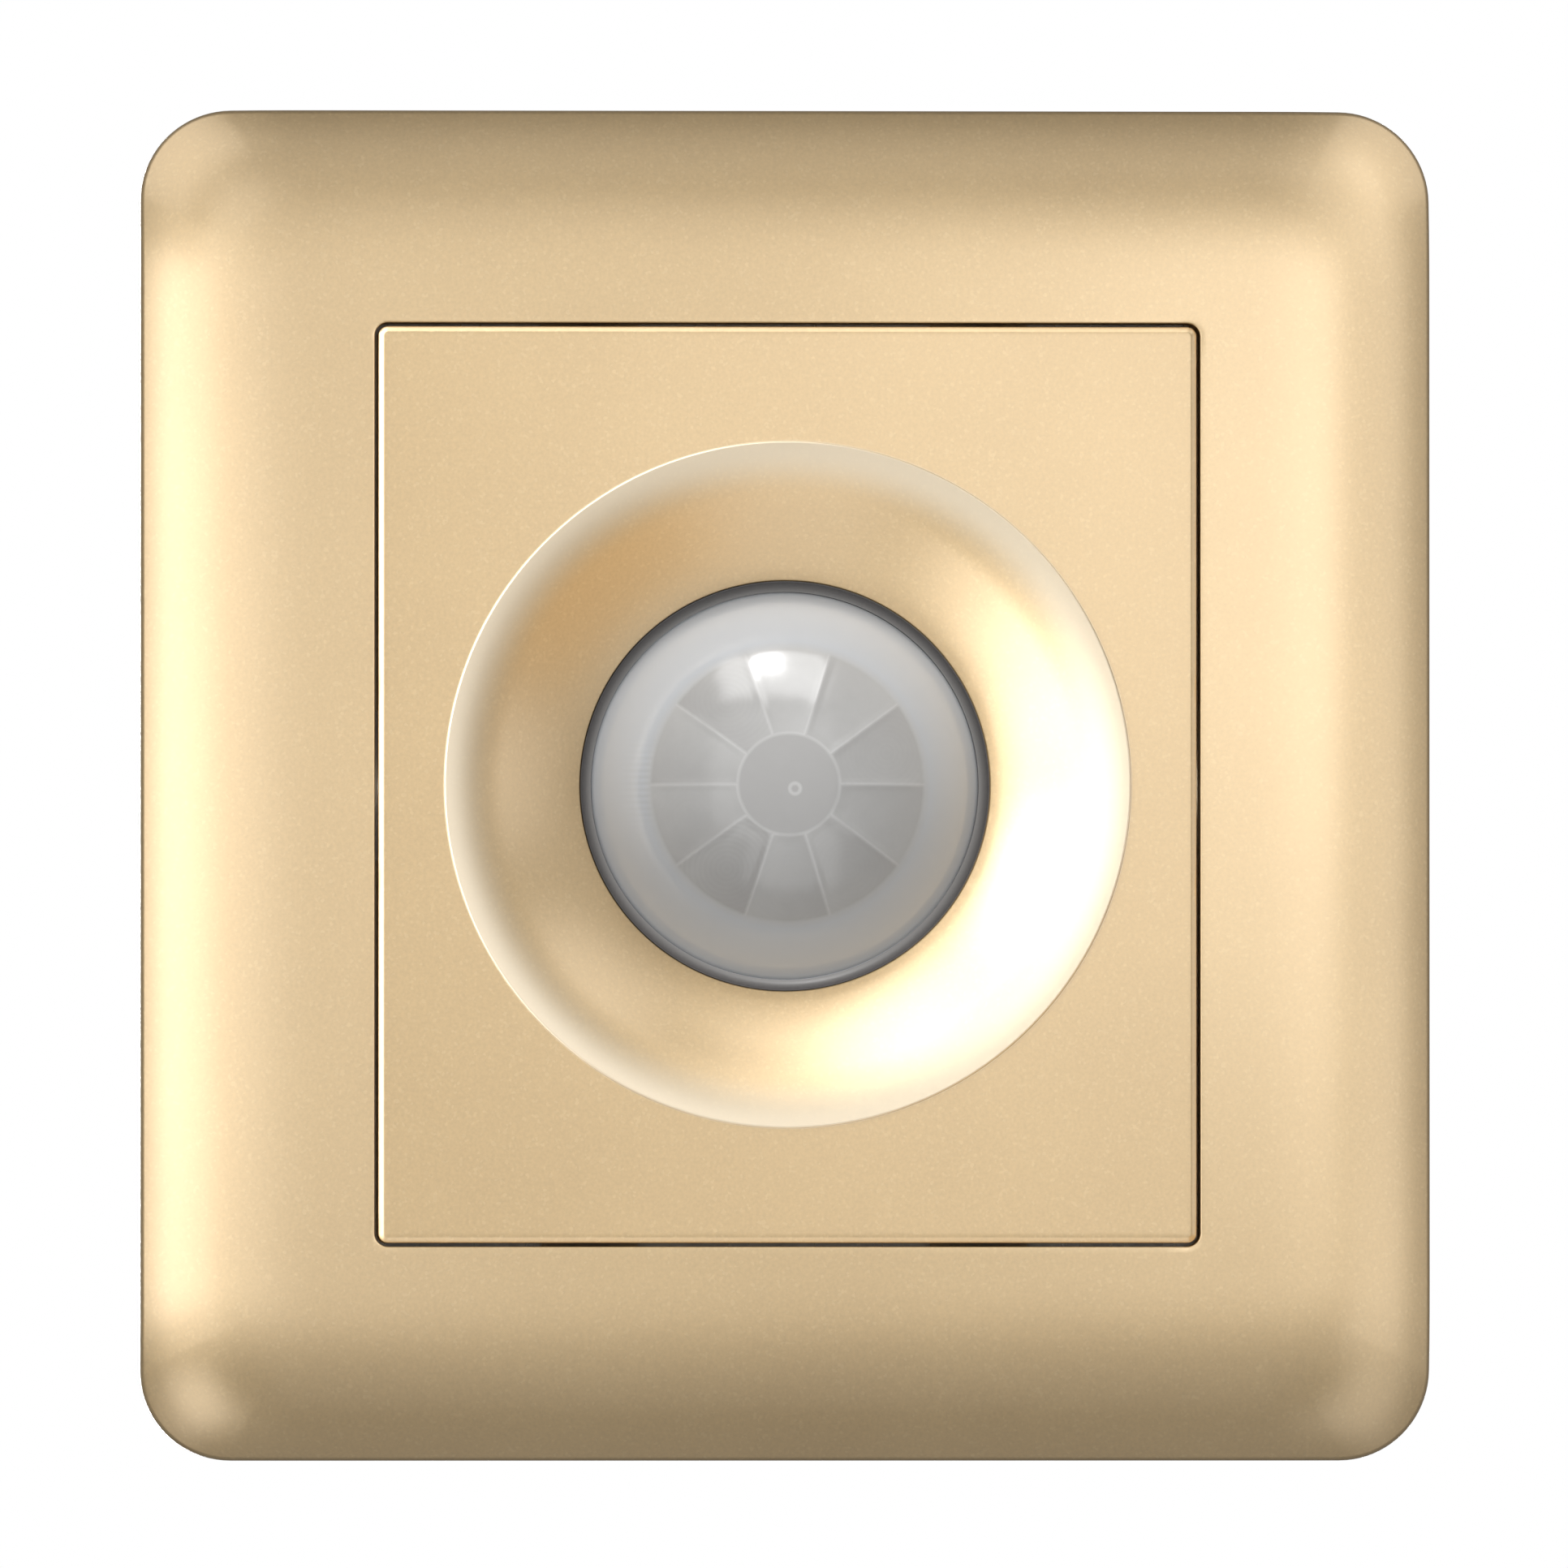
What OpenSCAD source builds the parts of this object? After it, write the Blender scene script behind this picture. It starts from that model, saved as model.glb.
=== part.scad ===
// Motion sensor light switch for a standard wall box, front facing -Y, top towards +Z.
// The origin is the centre of the wall plane, midway between the two box screws.

/* [Cover frame] */
// Width of the cover frame
plate_w = 86; // [82:0.5:94]
// Height of the cover frame
plate_h = 90; // [86:0.5:98]
// Corner radius of the frame, seen from the front
plate_corner_r = 6; // [4:0.5:8]
// Height of the frame's flat front above the wall
plate_t = 9; // [8.5:0.5:11]
// Width of the rounded shoulder along the frame's edges
shoulder_w = 9; // [7:0.5:10]
// Radius of the rounded shoulder
shoulder_r = 14; // [13:0.5:18]
// Wall of the frame's shell
cover_wall = 2; // [1.6:0.1:2.4]
// How far the collar round the window stands behind the shell
collar_depth = 2; // [1:0.25:2.25]
// Wall of that collar
collar_wall = 1.2; // [1:0.1:1.6]
// Width of each guide tab behind the frame
tab_w = 8; // [6:0.5:10]
// Thickness of each guide tab
tab_t = 1.5; // [1.2:0.1:2]
// Distance of each guide tab from the frame's upright centre line
tab_x = 24; // [22:0.5:26]
// Clearance of a guide tab in its slot, each side
tab_fit = 0.15; // [0.1:0.05:0.3]

/* [Sensor face] */
// Width of the frame's window
window_w = 55; // [53:0.25:57]
// Height of the frame's window
window_h = 61.5; // [59.5:0.25:63.5]
// Corner radius of the window
window_corner_r = 0.9; // [0.7:0.1:2]
// Gap between the face and the window, all round
face_gap = 0.25; // [0.15:0.05:0.4]
// Thickness of the face's flat plate
face_t = 2; // [1.6:0.1:2.4]
// Wall of the skirt behind the face
skirt_wall = 1.6; // [1.2:0.1:2]
// Outer diameter of the dish, at its lip
dish_d = 45.8; // [44:0.2:48]
// Slope of the dish's cone from the flat face, in degrees
dish_slope = 38; // [34:1:42]
// Radius of the rounded lip round the dish
lip_r = 4; // [3:0.25:5]
// Tilt of the lip where it meets the flat face, in degrees
lip_angle = 22; // [16:1:26]
// Wall of the dish
dish_wall = 1.6; // [1.4:0.1:2]

/* [Lens] */
// Diameter of the lens at the foot of its dome
lens_d = 25.8; // [24:0.2:27]
// Height of the dome
lens_rise = 7.5; // [6:0.25:9]
// Wall of the lens
lens_wall = 0.8; // [0.6:0.05:1]
// Depth of the dome's foot below the edge of the dish
lens_sink = 0.6; // [0.4:0.1:1]
// Width of the lens flange
lens_flange_w = 2.6; // [2:0.1:3]
// Thickness of the lens flange
lens_flange_t = 1; // [0.8:0.1:1.4]
// Number of facets round the lens
facet_count = 10; // [8:1:14]
// Radius of the round facet in the middle
facet_inner_r = 3.4; // [2.8:0.1:4]
// Outer radius of the ring of facets
facet_outer_r = 9.1; // [8:0.1:10]
// Width and height of the ridges between facets, on the inside of the dome
ridge = 0.25; // [0.2:0.05:0.35]
// Wall of the dark bezel round the lens
bezel_wall = 0.7; // [0.5:0.05:1]
// Thickness of the bezel's flange
bezel_flange_t = 0.5; // [0.4:0.05:0.8]
// Thickness of the ring that holds the lens
retainer_t = 1.5; // [1.2:0.1:2]
// Clearance between lens, bezel, retainer and face
lens_fit = 0.05; // [0.03:0.01:0.1]

/* [Mounting bracket] */
// Thickness of the steel bracket
bracket_t = 1.5; // [1:0.1:1.8]
// Room between the bracket's edge and the cover frame's wall
bracket_room = 3; // [2:0.25:4]
// Corner radius of the bracket
bracket_corner_r = 4; // [2:0.5:6]
// Distance between the two wall box screws
fixing_pitch = 60.3; // [59.5:0.1:61.5]
// Width of the slots for the wall box screws
slot_w = 4.2; // [3.8:0.1:4.6]
// Length of the slots, end to end
slot_l = 6.6; // [5.4:0.1:7]
// Room for the head of a wall box screw, across
screw_head_room = 10; // [8:0.5:11]

/* [Rear housing] */
// How far the housing's flange reaches past its sides
flange_reach = 3.25; // [3:0.05:3.5]
// Thickness of the flange
flange_t = 2; // [1.6:0.1:2.4]
// Wall of the housing
housing_wall = 1.8; // [1.5:0.1:2]
// Corner radius of the housing
housing_corner_r = 3; // [2:0.25:4]
// Clearance between the housing and the bracket's window
housing_fit = 0.3; // [0.2:0.05:0.5]
// Room between the tallest part and the rear wall
rear_room = 0.4; // [0.3:0.1:1]
// Radius of the posts behind the face that take the case screws
post_r = 2.2; // [2:0.1:2.3]
// Radius of the bosses in the housing that meet the posts
boss_r = 2.8; // [2.7:0.05:3]
// Thread radius of the case screws
case_screw_r = 0.8; // [0.7:0.05:1]
// Length of the case screws under the head
case_screw_l = 10; // [8:0.5:12]
// Distance of the ear screws from the upright centre line
ear_x = 13; // [10:0.5:14]
// Radius of the ears on the flange
ear_r = 3.2; // [3:0.1:3.6]
// Thread radius of the ear screws
ear_screw_r = 1.2; // [1:0.05:1.4]

/* [Boards] */
// Thickness of both boards
board_t = 1.6; // [1.2:0.1:2]
// Clearance between the boards and the housing
board_gap = 0.3; // [0.2:0.05:0.5]
// Space between the two boards
board_space = 2.4; // [2.2:0.1:3.2]
// Distance from the lens retainer to the sensor board
sensor_room = 5.75; // [5.5:0.25:7]
// Radius of the leads of the parts on the boards
lead_r = 0.4; // [0.3:0.05:0.5]
// Clearance round each lead in its hole
lead_fit = 0.1; // [0.05:0.01:0.15]
// How far leads stand out past the board
lead_tail = 1; // [0.6:0.1:1]
// Spacing of the header pins
pin_pitch = 2.54; // [2:0.01:2.6]
// Number of header pins
pin_count = 6; // [4:1:7]

/* [Infrared sensor] */
// Diameter of the sensor can
can_d = 8.2; // [7.6:0.1:9]
// Height of the sensor can
can_h = 4.2; // [3.8:0.1:4.6]
// Width of the can's window
can_window_w = 4; // [3.4:0.1:4.6]
// Height of the can's window
can_window_h = 3; // [2.6:0.1:3.4]

/* [Relay] */
// Width of the relay
relay_w = 19.2; // [18.4:0.1:20]
// Height of the relay up the board
relay_h = 15.4; // [14.6:0.1:16]
// Depth of the relay from the board
relay_depth = 14.2; // [14:0.1:15]
// Wall of the relay's cover
relay_wall = 0.8; // [0.6:0.05:0.9]
// Gap between the core's pole and the armature at rest
pole_gap = 0.8; // [0.75:0.05:1]
// Gap between the relay's contacts at rest
contact_gap = 1.1; // [1.05:0.05:1.3]

/* [Adjusters] */
// Width of each adjuster's body
adjuster_w = 7; // [6.6:0.1:7.4]
// Height of each adjuster's body above the board
adjuster_h = 5; // [4:0.25:6]
// Diameter of the spindles
spindle_d = 5; // [4.6:0.1:5.2]
// Running clearance of a spindle in its body
spindle_fit = 0.06; // [0.04:0.01:0.1]
// Clearance of a spindle in the rear wall
spindle_room = 0.3; // [0.2:0.05:0.4]

/* [Terminals] */
// Distance between poles
pole_pitch = 7.62; // [7.5:0.01:8]
// Diameter of the wire holes
wire_d = 4; // [3.6:0.1:4.2]
// Depth of the wall round each wire hole
wire_wall = 3; // [2.4:0.1:3.4]
// Travel of each clamp
clamp_travel = 3; // [2.4:0.1:3.2]
// Width of each clamp
clamp_w = 5.8; // [5.6:0.05:6]
// Depth of each clamp
clamp_d = 6; // [5.4:0.1:6.4]
// Wall of each clamp's sides
clamp_wall = 0.8; // [0.7:0.05:0.85]
// Thickness of each clamp's threaded top
clamp_top = 1.8; // [1.5:0.1:2.2]
// Thread radius of the terminal screws
terminal_screw_r = 1.42; // [1.3:0.01:1.5]
// Head radius of the terminal screws
terminal_head_r = 2.2; // [2:0.05:2.3]
// Clearance round the clamps and screws
terminal_fit = 0.2; // [0.15:0.01:0.25]

/* [Hidden] */
$fn = 64;

champagne = "#dcc295";
dark_grey = "#3c393b";
milky = "#d9d9d6";
steel = "#b9bcc0";
off_white = "#e8e6df";
board_green = "#2f6b3f";
black = "#232323";
brass = "#c9a24c";
copper = "#b4693a";
sensor_gold = "#c7a75c";
relay_blue = "#2f63a8";
terminal_green = "#3f8f54";

// Places along the wall's normal, front to back
face_y = -plate_t;
face_back_y = face_y + face_t;
bracket_y = -bracket_t;
flange_y = bracket_y - flange_t;

// Cover frame
flat_w = plate_w - 2 * shoulder_w;
flat_h = plate_h - 2 * shoulder_w;
shoulder_y = face_y + shoulder_r;
bracket_w = plate_w - 2 * (cover_wall + bracket_room);
bracket_h = plate_h - 2 * (cover_wall + bracket_room);
tab_edge = 1.75;
tab_z = bracket_h / 2 - tab_edge - tab_t / 2;
tab_reach = max(0, tab_z + tab_t / 2 - flat_h / 2);
tab_root_y = face_y + shoulder_r - sqrt(shoulder_r * shoulder_r - tab_reach * tab_reach) + cover_wall / 2;
tab_end_y = -0.3;

// Sensor face and dish
face_w = window_w - 2 * face_gap;
face_h = window_h - 2 * face_gap;
face_corner_r = window_corner_r - face_gap;
lens_r = lens_d / 2;
hole_r = lens_r + bezel_wall + 2 * lens_fit;
dish_r = dish_d / 2;
lip_center_r = dish_r - lip_r * sin(lip_angle);
lip_center_y = face_y + lip_r * cos(lip_angle);
cone_r = lip_center_r - lip_r * sin(dish_slope);
cone_y = lip_center_y - lip_r * cos(dish_slope);
dish_edge_y = cone_y + (cone_r - hole_r) * tan(dish_slope);
seat_y = dish_edge_y + dish_wall;
flange_r = lens_r + lens_flange_w;
cup_r = flange_r + 2 * lens_fit;
cup_outer_r = cup_r + dish_wall;
dish_back = dish_wall / sin(dish_slope);
back_r = hole_r + dish_back + (dish_edge_y - face_back_y) / tan(dish_slope);
cup_join_y = dish_edge_y - (cup_outer_r - hole_r - dish_back) * tan(dish_slope);

// Lens stack behind the dish
lens_flange_y = seat_y + bezel_flange_t;
retainer_y = lens_flange_y + lens_flange_t;
cup_end_y = retainer_y + retainer_t;
dome_foot_y = dish_edge_y + lens_sink;
dome_r = (lens_r * lens_r + lens_rise * lens_rise) / (2 * lens_rise);
dome_y = dome_foot_y - lens_rise + dome_r;
dome_inner_r = dome_r - lens_wall;
retainer_step = 0.4;
bezel_proud = 0.05;
neck_r = sqrt(pow(dome_inner_r, 2) - pow(dome_y - dome_foot_y, 2));

// Rear housing, posts and boards
housing_w = window_w - 2 * flange_reach;
housing_h = window_h - 2 * flange_reach;
inner_w = housing_w - 2 * housing_wall;
inner_h = housing_h - 2 * housing_wall;
inner_corner_r = max(0.5, housing_corner_r - housing_wall);
post_room = 0.2;
post_inset = post_r + post_room;
post_x = inner_w / 2 - post_inset;
post_z = inner_h / 2 - post_inset;
board_w = inner_w - 2 * board_gap;
board_h = inner_h - 2 * board_gap;
corner_x = post_x - boss_r - board_gap;
corner_z = post_z - boss_r - board_gap;
sensor_y = cup_end_y + sensor_room;
sensor_back_y = sensor_y + board_t;
power_y = sensor_back_y + board_space;
power_back_y = power_y + board_t;
tail_y = power_y - lead_tail;
sensor_tail_y = sensor_back_y + lead_tail;
rear_inner_y = power_back_y + relay_depth + rear_room;
rear_y = rear_inner_y + housing_wall;

// Screws of the case, the ears and the boards
close_gap = 0.1;
cut = 1;
lead_bite = 0.5;
pilot_extra = 0.5;
case_head_r = 1.9;
case_head_h = 1.4;
screw_fit = 0.05;
head_fit = 0.2;
boss_rise = 3.6;
boss_y = power_back_y + boss_rise;
boss_seat_t = 1.8;
case_seat_y = boss_y + boss_seat_t;
post_end_y = boss_y - close_gap;
ear_overlap = 0.4;
ear_z = face_h / 2 + ear_r - ear_overlap;
ear_head_r = 2;
ear_head_h = 1.2;
ear_tip_y = -0.1;
pillar_r = 2;
pillar_room = 1;
pillar_x = corner_x - pillar_r - pillar_room;
pillar_inset = 2.6;
pillar_z = inner_h / 2 - pillar_inset;
board_screw_r = 0.8;
board_screw_l = 5;
board_head_r = 1.5;
board_head_h = 1.1;
spacer_r = 1.6;
spacer_bore_r = 0.8;
spacer_x = 6;
rib_w = 2;
rib_reach = 1.2;
rib_z = 7;

// Terminal block, counted up from the power board
pole_count = 3;
block_floor = 1;
clamp_foot_y = power_back_y + block_floor + terminal_fit;
clamp_foot_t = 1.2;
wire_low_y = clamp_foot_y + clamp_foot_t;
wire_play = 0.4;
wire_room = wire_d + wire_play;
contact_t = 1;
contact_y = wire_low_y + wire_room;
contact_top_y = contact_y + contact_t;
thread_y = contact_top_y + close_gap;
clamp_top_y = thread_y + clamp_top;
chamber_top_y = clamp_top_y + clamp_travel + terminal_fit;
shoulder_t = 0.6;
head_y = chamber_top_y + shoulder_t + close_gap;
head_h = 1.8;
head_sink = 1;
block_top_y = head_y + head_h + head_sink;
wire_y = (wire_low_y + contact_y) / 2;
clamp_window = clamp_w - 2 * clamp_wall;
pole_gap_w = 0.12;
pole_w = pole_pitch - pole_gap_w;
chamber_w = clamp_w + 2 * terminal_fit;
leg_t = 0.8;
leg_w = 1.2;
block_z = -housing_h / 2;
clamp_z = block_z + wire_wall + terminal_fit;
leg_gap = 0.4;
leg_z = clamp_z + clamp_d + leg_gap;
chamber_end_z = leg_z + leg_t + terminal_fit;
block_back_wall = 1.4;
block_end_z = chamber_end_z + block_back_wall;
block_w = pole_count * pole_pitch;
block_room = 0.2;

// Layout of the power board, seen from the front
edge_room = 1.2;
part_room = 1;
relay_x0 = -board_w / 2 + edge_room;
relay_z1 = corner_z - board_gap;
relay_cx = relay_x0 + relay_w / 2;
relay_cz = relay_z1 - relay_h / 2;
film_w = 13;
film_h = 7;
film_depth = 12.5;
film_x = relay_x0 + relay_w + part_room + film_w / 2;
film_z = board_h / 2 - part_room - film_h / 2;
filter_d = 6.3;
filter_depth = 11.5;
filter_z = film_z - film_h / 2 - part_room - filter_d / 2;
filter_x = film_x - film_w / 2 + filter_d / 2;
filter_spots = [for (i = [0, 1]) [filter_x + i * (filter_d + part_room), filter_z]];
varistor_d = 9;
varistor_t = 3.6;
varistor_stand = 1;
varistor_x = board_w / 2 - edge_room - varistor_t / 2;
varistor_drop = 2;
varistor_z = filter_z - varistor_drop;
row_room = 4.2;
row_z = relay_cz - relay_h / 2 - row_room;
fuse_shift = 1;
fuse_x = relay_cx + fuse_shift;
fuse_l = 9;
fuse_r = 1.9;
fuse_reach = 1.2;
diode_r = 1.35;
diode_l = 5;
diode_reach = 1;
axial_stand = 0.2;
wire_r = 0.75 * lead_r;
diode_count = 4;
diode_edge = 1.5;
diode_pitch = 4;
diode_x = film_x - film_w / 2 + diode_edge;
diode_spots = [for (i = [0:diode_count - 1]) [diode_x + i * diode_pitch, row_z]];
driver_edge = 3.5;
driver_drop = 5;
driver_x = relay_x0 + driver_edge;
driver_z = row_z - driver_drop;
driver_r = 2.2;
driver_h = 4.6;
driver_flat = 1.3;
driver_stand = 2;
adjuster_edge = 0.8;
adjuster_x = board_w / 2 - adjuster_w / 2 - adjuster_edge;
adjuster_z = -corner_z + adjuster_w / 2 + part_room;
spindle_r = spindle_d / 2;
spindle_depth = 3;
spindle_slot = 0.9;
spindle_slot_depth = 1.5;
spindle_sink = 0.3;
spindle_end_y = rear_y - spindle_sink;
header_room = 2.5;
header_z = block_end_z + header_room;
pole_spots = [for (i = [0:pole_count - 1]) (i - (pole_count - 1) / 2) * pole_pitch];
pin_spots = [for (i = [0:pin_count - 1]) [(i - (pin_count - 1) / 2) * pin_pitch, header_z]];

// Lead places of the parts on the power board
contact_pin_edge = 2.6;
coil_pin_edge = 4.6;
common_pin_edge = 2.2;
relay_pin_side = 2.7;
contact_pin_x = relay_cx - relay_w / 2 + contact_pin_edge;
coil_pin_x = relay_cx + relay_w / 2 - coil_pin_edge;
common_pin_x = relay_cx + relay_w / 2 - common_pin_edge;
relay_pin_z = relay_h / 2 - relay_pin_side;
relay_leads = concat([for (x = [contact_pin_x, coil_pin_x], s = [-1, 1]) [x, relay_cz + s * relay_pin_z]],
    [[common_pin_x, relay_cz]]);
film_pitch = 10;
film_leads = [for (s = [-1, 1]) [film_x + s * film_pitch / 2, film_z]];
filter_pitch = 2.5;
filter_leads = [for (p = filter_spots, s = [-1, 1]) [p[0] + s * filter_pitch / 2, p[1]]];
varistor_pitch = 5;
varistor_leads = [for (s = [-1, 1]) [varistor_x, varistor_z + s * varistor_pitch / 2]];
fuse_leads = [for (s = [-1, 1]) [fuse_x + s * (fuse_l / 2 + fuse_reach), row_z]];
diode_leads = [for (p = diode_spots, s = [-1, 1]) [p[0], p[1] + s * (diode_l / 2 + diode_reach)]];
driver_pitch = 1.27;
driver_leads = [for (i = [-1:1]) [driver_x + i * driver_pitch, driver_z]];
adjuster_pitch = 2.3;
adjuster_leads = [for (sx = [-1, 1], i = [-1:1])
    [sx * adjuster_x + i * adjuster_pitch, adjuster_z - adjuster_pitch]];
power_leads = concat(relay_leads, film_leads, filter_leads, varistor_leads, fuse_leads, diode_leads,
    driver_leads, adjuster_leads);

// Sensor board
pir_lead_r = 0.23;
pir_lead_ring = 2.54;
pir_leads = [for (a = [45, 135, 270]) [pir_lead_ring * cos(a), pir_lead_ring * sin(a)]];
can_wall = 0.3;
filter_t = 0.5;
filter_edge = 0.5;
stem_rim = 0.5;
stem_r = can_d / 2 + stem_rim;
stem_t = 0.8;
led_spot = [-7.5, -5];
led_r = 1.5;
led_h = 4;
cell_spot = [7.5, -5];
cell_r = 2.2;
cell_t = 1.8;
cell_stand = 1;
chip_w = 9.9;
chip_h = 3.9;
chip_t = 1.6;
chip_room = 1.6;
chip_z = -(cup_outer_r + chip_h / 2 + chip_room);
small_count = 7;
small_pitch = 3;
small_size = [2, 0.7, 1.2];
small_room = 2.6;
small_z = cup_outer_r + small_room;
timing_d = 4;
timing_h = 4.8;
timing_x = board_w / 2 - timing_d / 2 - part_room;
timing_z = 6;
sensor_pitch = 2.2;
sensor_leads = [for (p = [led_spot, cell_spot], s = [-1, 1]) [p[0] + s * sensor_pitch / 2, p[1]]];
led_rim = 0.3;
led_rim_t = 0.8;
can_bead = 0.1;
timing_leads = [for (sx = [-1, 1], s = [-1, 1]) [sx * timing_x, timing_z + s]];
header_t = 2.5;
pin_r = 0.32;

// Relay, counted up from the power board
relay_base_t = 1.5;
yoke_t = 1.4;
yoke_h = 10;
yoke_y = power_back_y + relay_base_t + close_gap;
relay_top_y = power_back_y + relay_depth - relay_wall;
leaf_t = 0.3;
leaf_room = 0.7;
armature_t = 1;
armature_h = 9.2;
armature_over = 0.8;
armature_y = relay_top_y - leaf_room - leaf_t - armature_t;
pole_y = armature_y - pole_gap;
pole_t = 0.8;
pole_r = 3.4;
core_r = 1.9;
core_shift = 1.6;
core_x = relay_cx - core_shift;
coil_r = 4.4;
yoke_room = 0.6;
yoke_x = relay_cx - relay_w / 2 + relay_wall + yoke_room;
pivot_gap = 0.15;
yoke_top_y = armature_y - pivot_gap;
rivet_r = 1.1;
rivet_room = 0.8;
contact_x = relay_cx + relay_w / 2 - relay_wall - rivet_room - rivet_r;
leaf_w = 3.6;
blade_t = 0.8;
blade_w = 3.2;
rivet_t = 0.9;
rivet_y = armature_y;
fixed_y = rivet_y - contact_gap;

// A flat shape drawn in X and Z, filled from y0 to y1
module along_y(y0, y1) {
    translate([0, y1, 0]) rotate([90, 0, 0]) linear_extrude(height = y1 - y0) children();
}

// A shape turned round the Y axis, from a profile of radius and height in front of the wall
module turned() {
    rotate([90, 0, 0]) rotate_extrude() children();
}

// A round bar along Y
module bar_y(r, y0, y1) {
    translate([0, y0, 0]) rotate([-90, 0, 0]) cylinder(r = r, h = y1 - y0);
}

// A copy at a place given as [x, z]
module at(p) {
    translate([p[0], 0, p[1]]) children();
}

// Copies at the four corners of a rectangle
module corners(x, z) {
    for (sx = [-1, 1], sz = [-1, 1]) at([sx * x, sz * z]) children();
}

module rounded_rect(w, h, r) {
    square([w - 2 * r, h], center = true);
    square([w, h - 2 * r], center = true);
    for (sx = [-1, 1], sz = [-1, 1]) translate([sx * (w / 2 - r), sz * (h / 2 - r)]) circle(r);
}

module rounded_ring(w, h, r, wall) {
    difference() {
        rounded_rect(w, h, r);
        rounded_rect(w - 2 * wall, h - 2 * wall, max(0.3, r - wall));
    }
}

// Leads through the power board, as round bars up to a height
module leads(spots, y1) {
    for (p = spots) at(p) bar_y(lead_r, tail_y, y1);
}

// A slab with a flat front and shoulders of radius r on all sides and corners
module pillow(r) {
    translate([0, shoulder_y, 0]) {
        translate([-flat_w / 2, -r, -flat_h / 2]) cube([flat_w, r, flat_h]);
        for (side = [0, 1]) {
            mirror([side, 0, 0]) translate([flat_w / 2, 0, 0])
                linear_extrude(height = flat_h, center = true) quarter_disc(r);
            mirror([0, 0, side]) translate([0, 0, flat_h / 2]) rotate([0, -90, 0])
                linear_extrude(height = flat_w, center = true) quarter_disc(r);
        }
        for (mx = [0, 1], mz = [0, 1]) mirror([mx, 0, 0]) mirror([0, 0, mz]) at([flat_w / 2, flat_h / 2])
            rotate([90, 0, 0]) rotate_extrude(angle = 90) mirror([0, 1]) quarter_disc(r);
    }
}

module quarter_disc(r) {
    intersection() {
        circle(r);
        translate([0, -r]) square(r);
    }
}

module frame_cover() {
    color(champagne) {
        difference() {
            intersection() {
                along_y(face_y, 0) rounded_rect(plate_w, plate_h, plate_corner_r);
                pillow(shoulder_r);
            }
            intersection() {
                along_y(face_y, cut) rounded_rect(plate_w - 2 * cover_wall, plate_h - 2 * cover_wall,
                    plate_corner_r - cover_wall);
                pillow(shoulder_r - cover_wall);
            }
            along_y(face_y - cut, 0) rounded_rect(window_w, window_h, window_corner_r);
        }
        along_y(face_y + cover_wall / 2, face_y + cover_wall + collar_depth)
            rounded_ring(window_w + 2 * collar_wall, window_h + 2 * collar_wall,
                window_corner_r + collar_wall, collar_wall);
        corners(tab_x, tab_z) along_y(tab_root_y, tab_end_y) square([tab_w, tab_t], center = true);
    }
}

module dish_profile() {
    polygon([[hole_r, -dish_edge_y], [cone_r, -cone_y], [dish_r, -face_y], [dish_r, -face_back_y],
        [back_r, -face_back_y], [cup_outer_r, -cup_join_y], [cup_outer_r, -cup_end_y],
        [cup_r, -cup_end_y], [cup_r, -seat_y], [hole_r, -seat_y]]);
    intersection() {
        translate([lip_center_r, -lip_center_y]) circle(lip_r);
        polygon([[cone_r, -cone_y], [dish_r, -face_y], [dish_r, lip_r - face_y], [cone_r, lip_r - cone_y]]);
    }
}

// Walls that close the inside of the face off from the room for the box screw heads
module screw_pockets() {
    for (s = [-1, 1]) translate([s * fixing_pitch / 2, (face_back_y + flange_y) / 2, 0])
        cube([screw_head_room + 2 * skirt_wall, flange_y - face_back_y, screw_head_room + 2 * skirt_wall],
            center = true);
}

// Room beside the face and its flange for the head of a wall box screw
module screw_relief() {
    for (s = [-1, 1]) translate([s * fixing_pitch / 2, (face_back_y + bracket_y) / 2, 0])
        cube([screw_head_room, bracket_y - face_back_y, screw_head_room], center = true);
}

module sensor_face() {
    color(champagne) difference() {
        union() {
            along_y(face_y, face_back_y) difference() {
                rounded_rect(face_w, face_h, face_corner_r);
                circle(dish_r);
            }
            along_y(face_back_y, flange_y) rounded_ring(face_w, face_h, face_corner_r, skirt_wall);
            intersection() {
                screw_pockets();
                along_y(face_y, flange_y) rounded_rect(face_w, face_h, face_corner_r);
            }
            turned() dish_profile();
            corners(post_x, post_z) bar_y(post_r, face_back_y - face_t / 2, post_end_y);
            corners(pillar_x, pillar_z) bar_y(pillar_r, face_back_y - face_t / 2, sensor_y);
        }
        screw_relief();
        corners(post_x, post_z)
            bar_y(case_screw_r + screw_fit, case_seat_y - case_screw_l - pilot_extra, post_end_y + cut);
        corners(pillar_x, pillar_z)
            bar_y(board_screw_r + screw_fit, sensor_back_y - board_screw_l - pilot_extra, sensor_y + cut);
    }
}

module lens_bezel() {
    color(dark_grey) turned() polygon([[lens_r + lens_fit, -seat_y - bezel_flange_t],
        [lens_r + lens_fit, -dome_foot_y], [hole_r - lens_fit, -dish_edge_y - bezel_proud],
        [hole_r - lens_fit, -seat_y], [flange_r, -seat_y], [flange_r, -seat_y - bezel_flange_t]]);
}

// The dome's wall between two radii, in front of its foot
module dome_shell(inner, outer) {
    turned() intersection() {
        translate([0, -dome_y]) difference() {
            circle(outer);
            circle(inner);
        }
        translate([0, -dome_foot_y]) square(2 * dome_r);
    }
}

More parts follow.
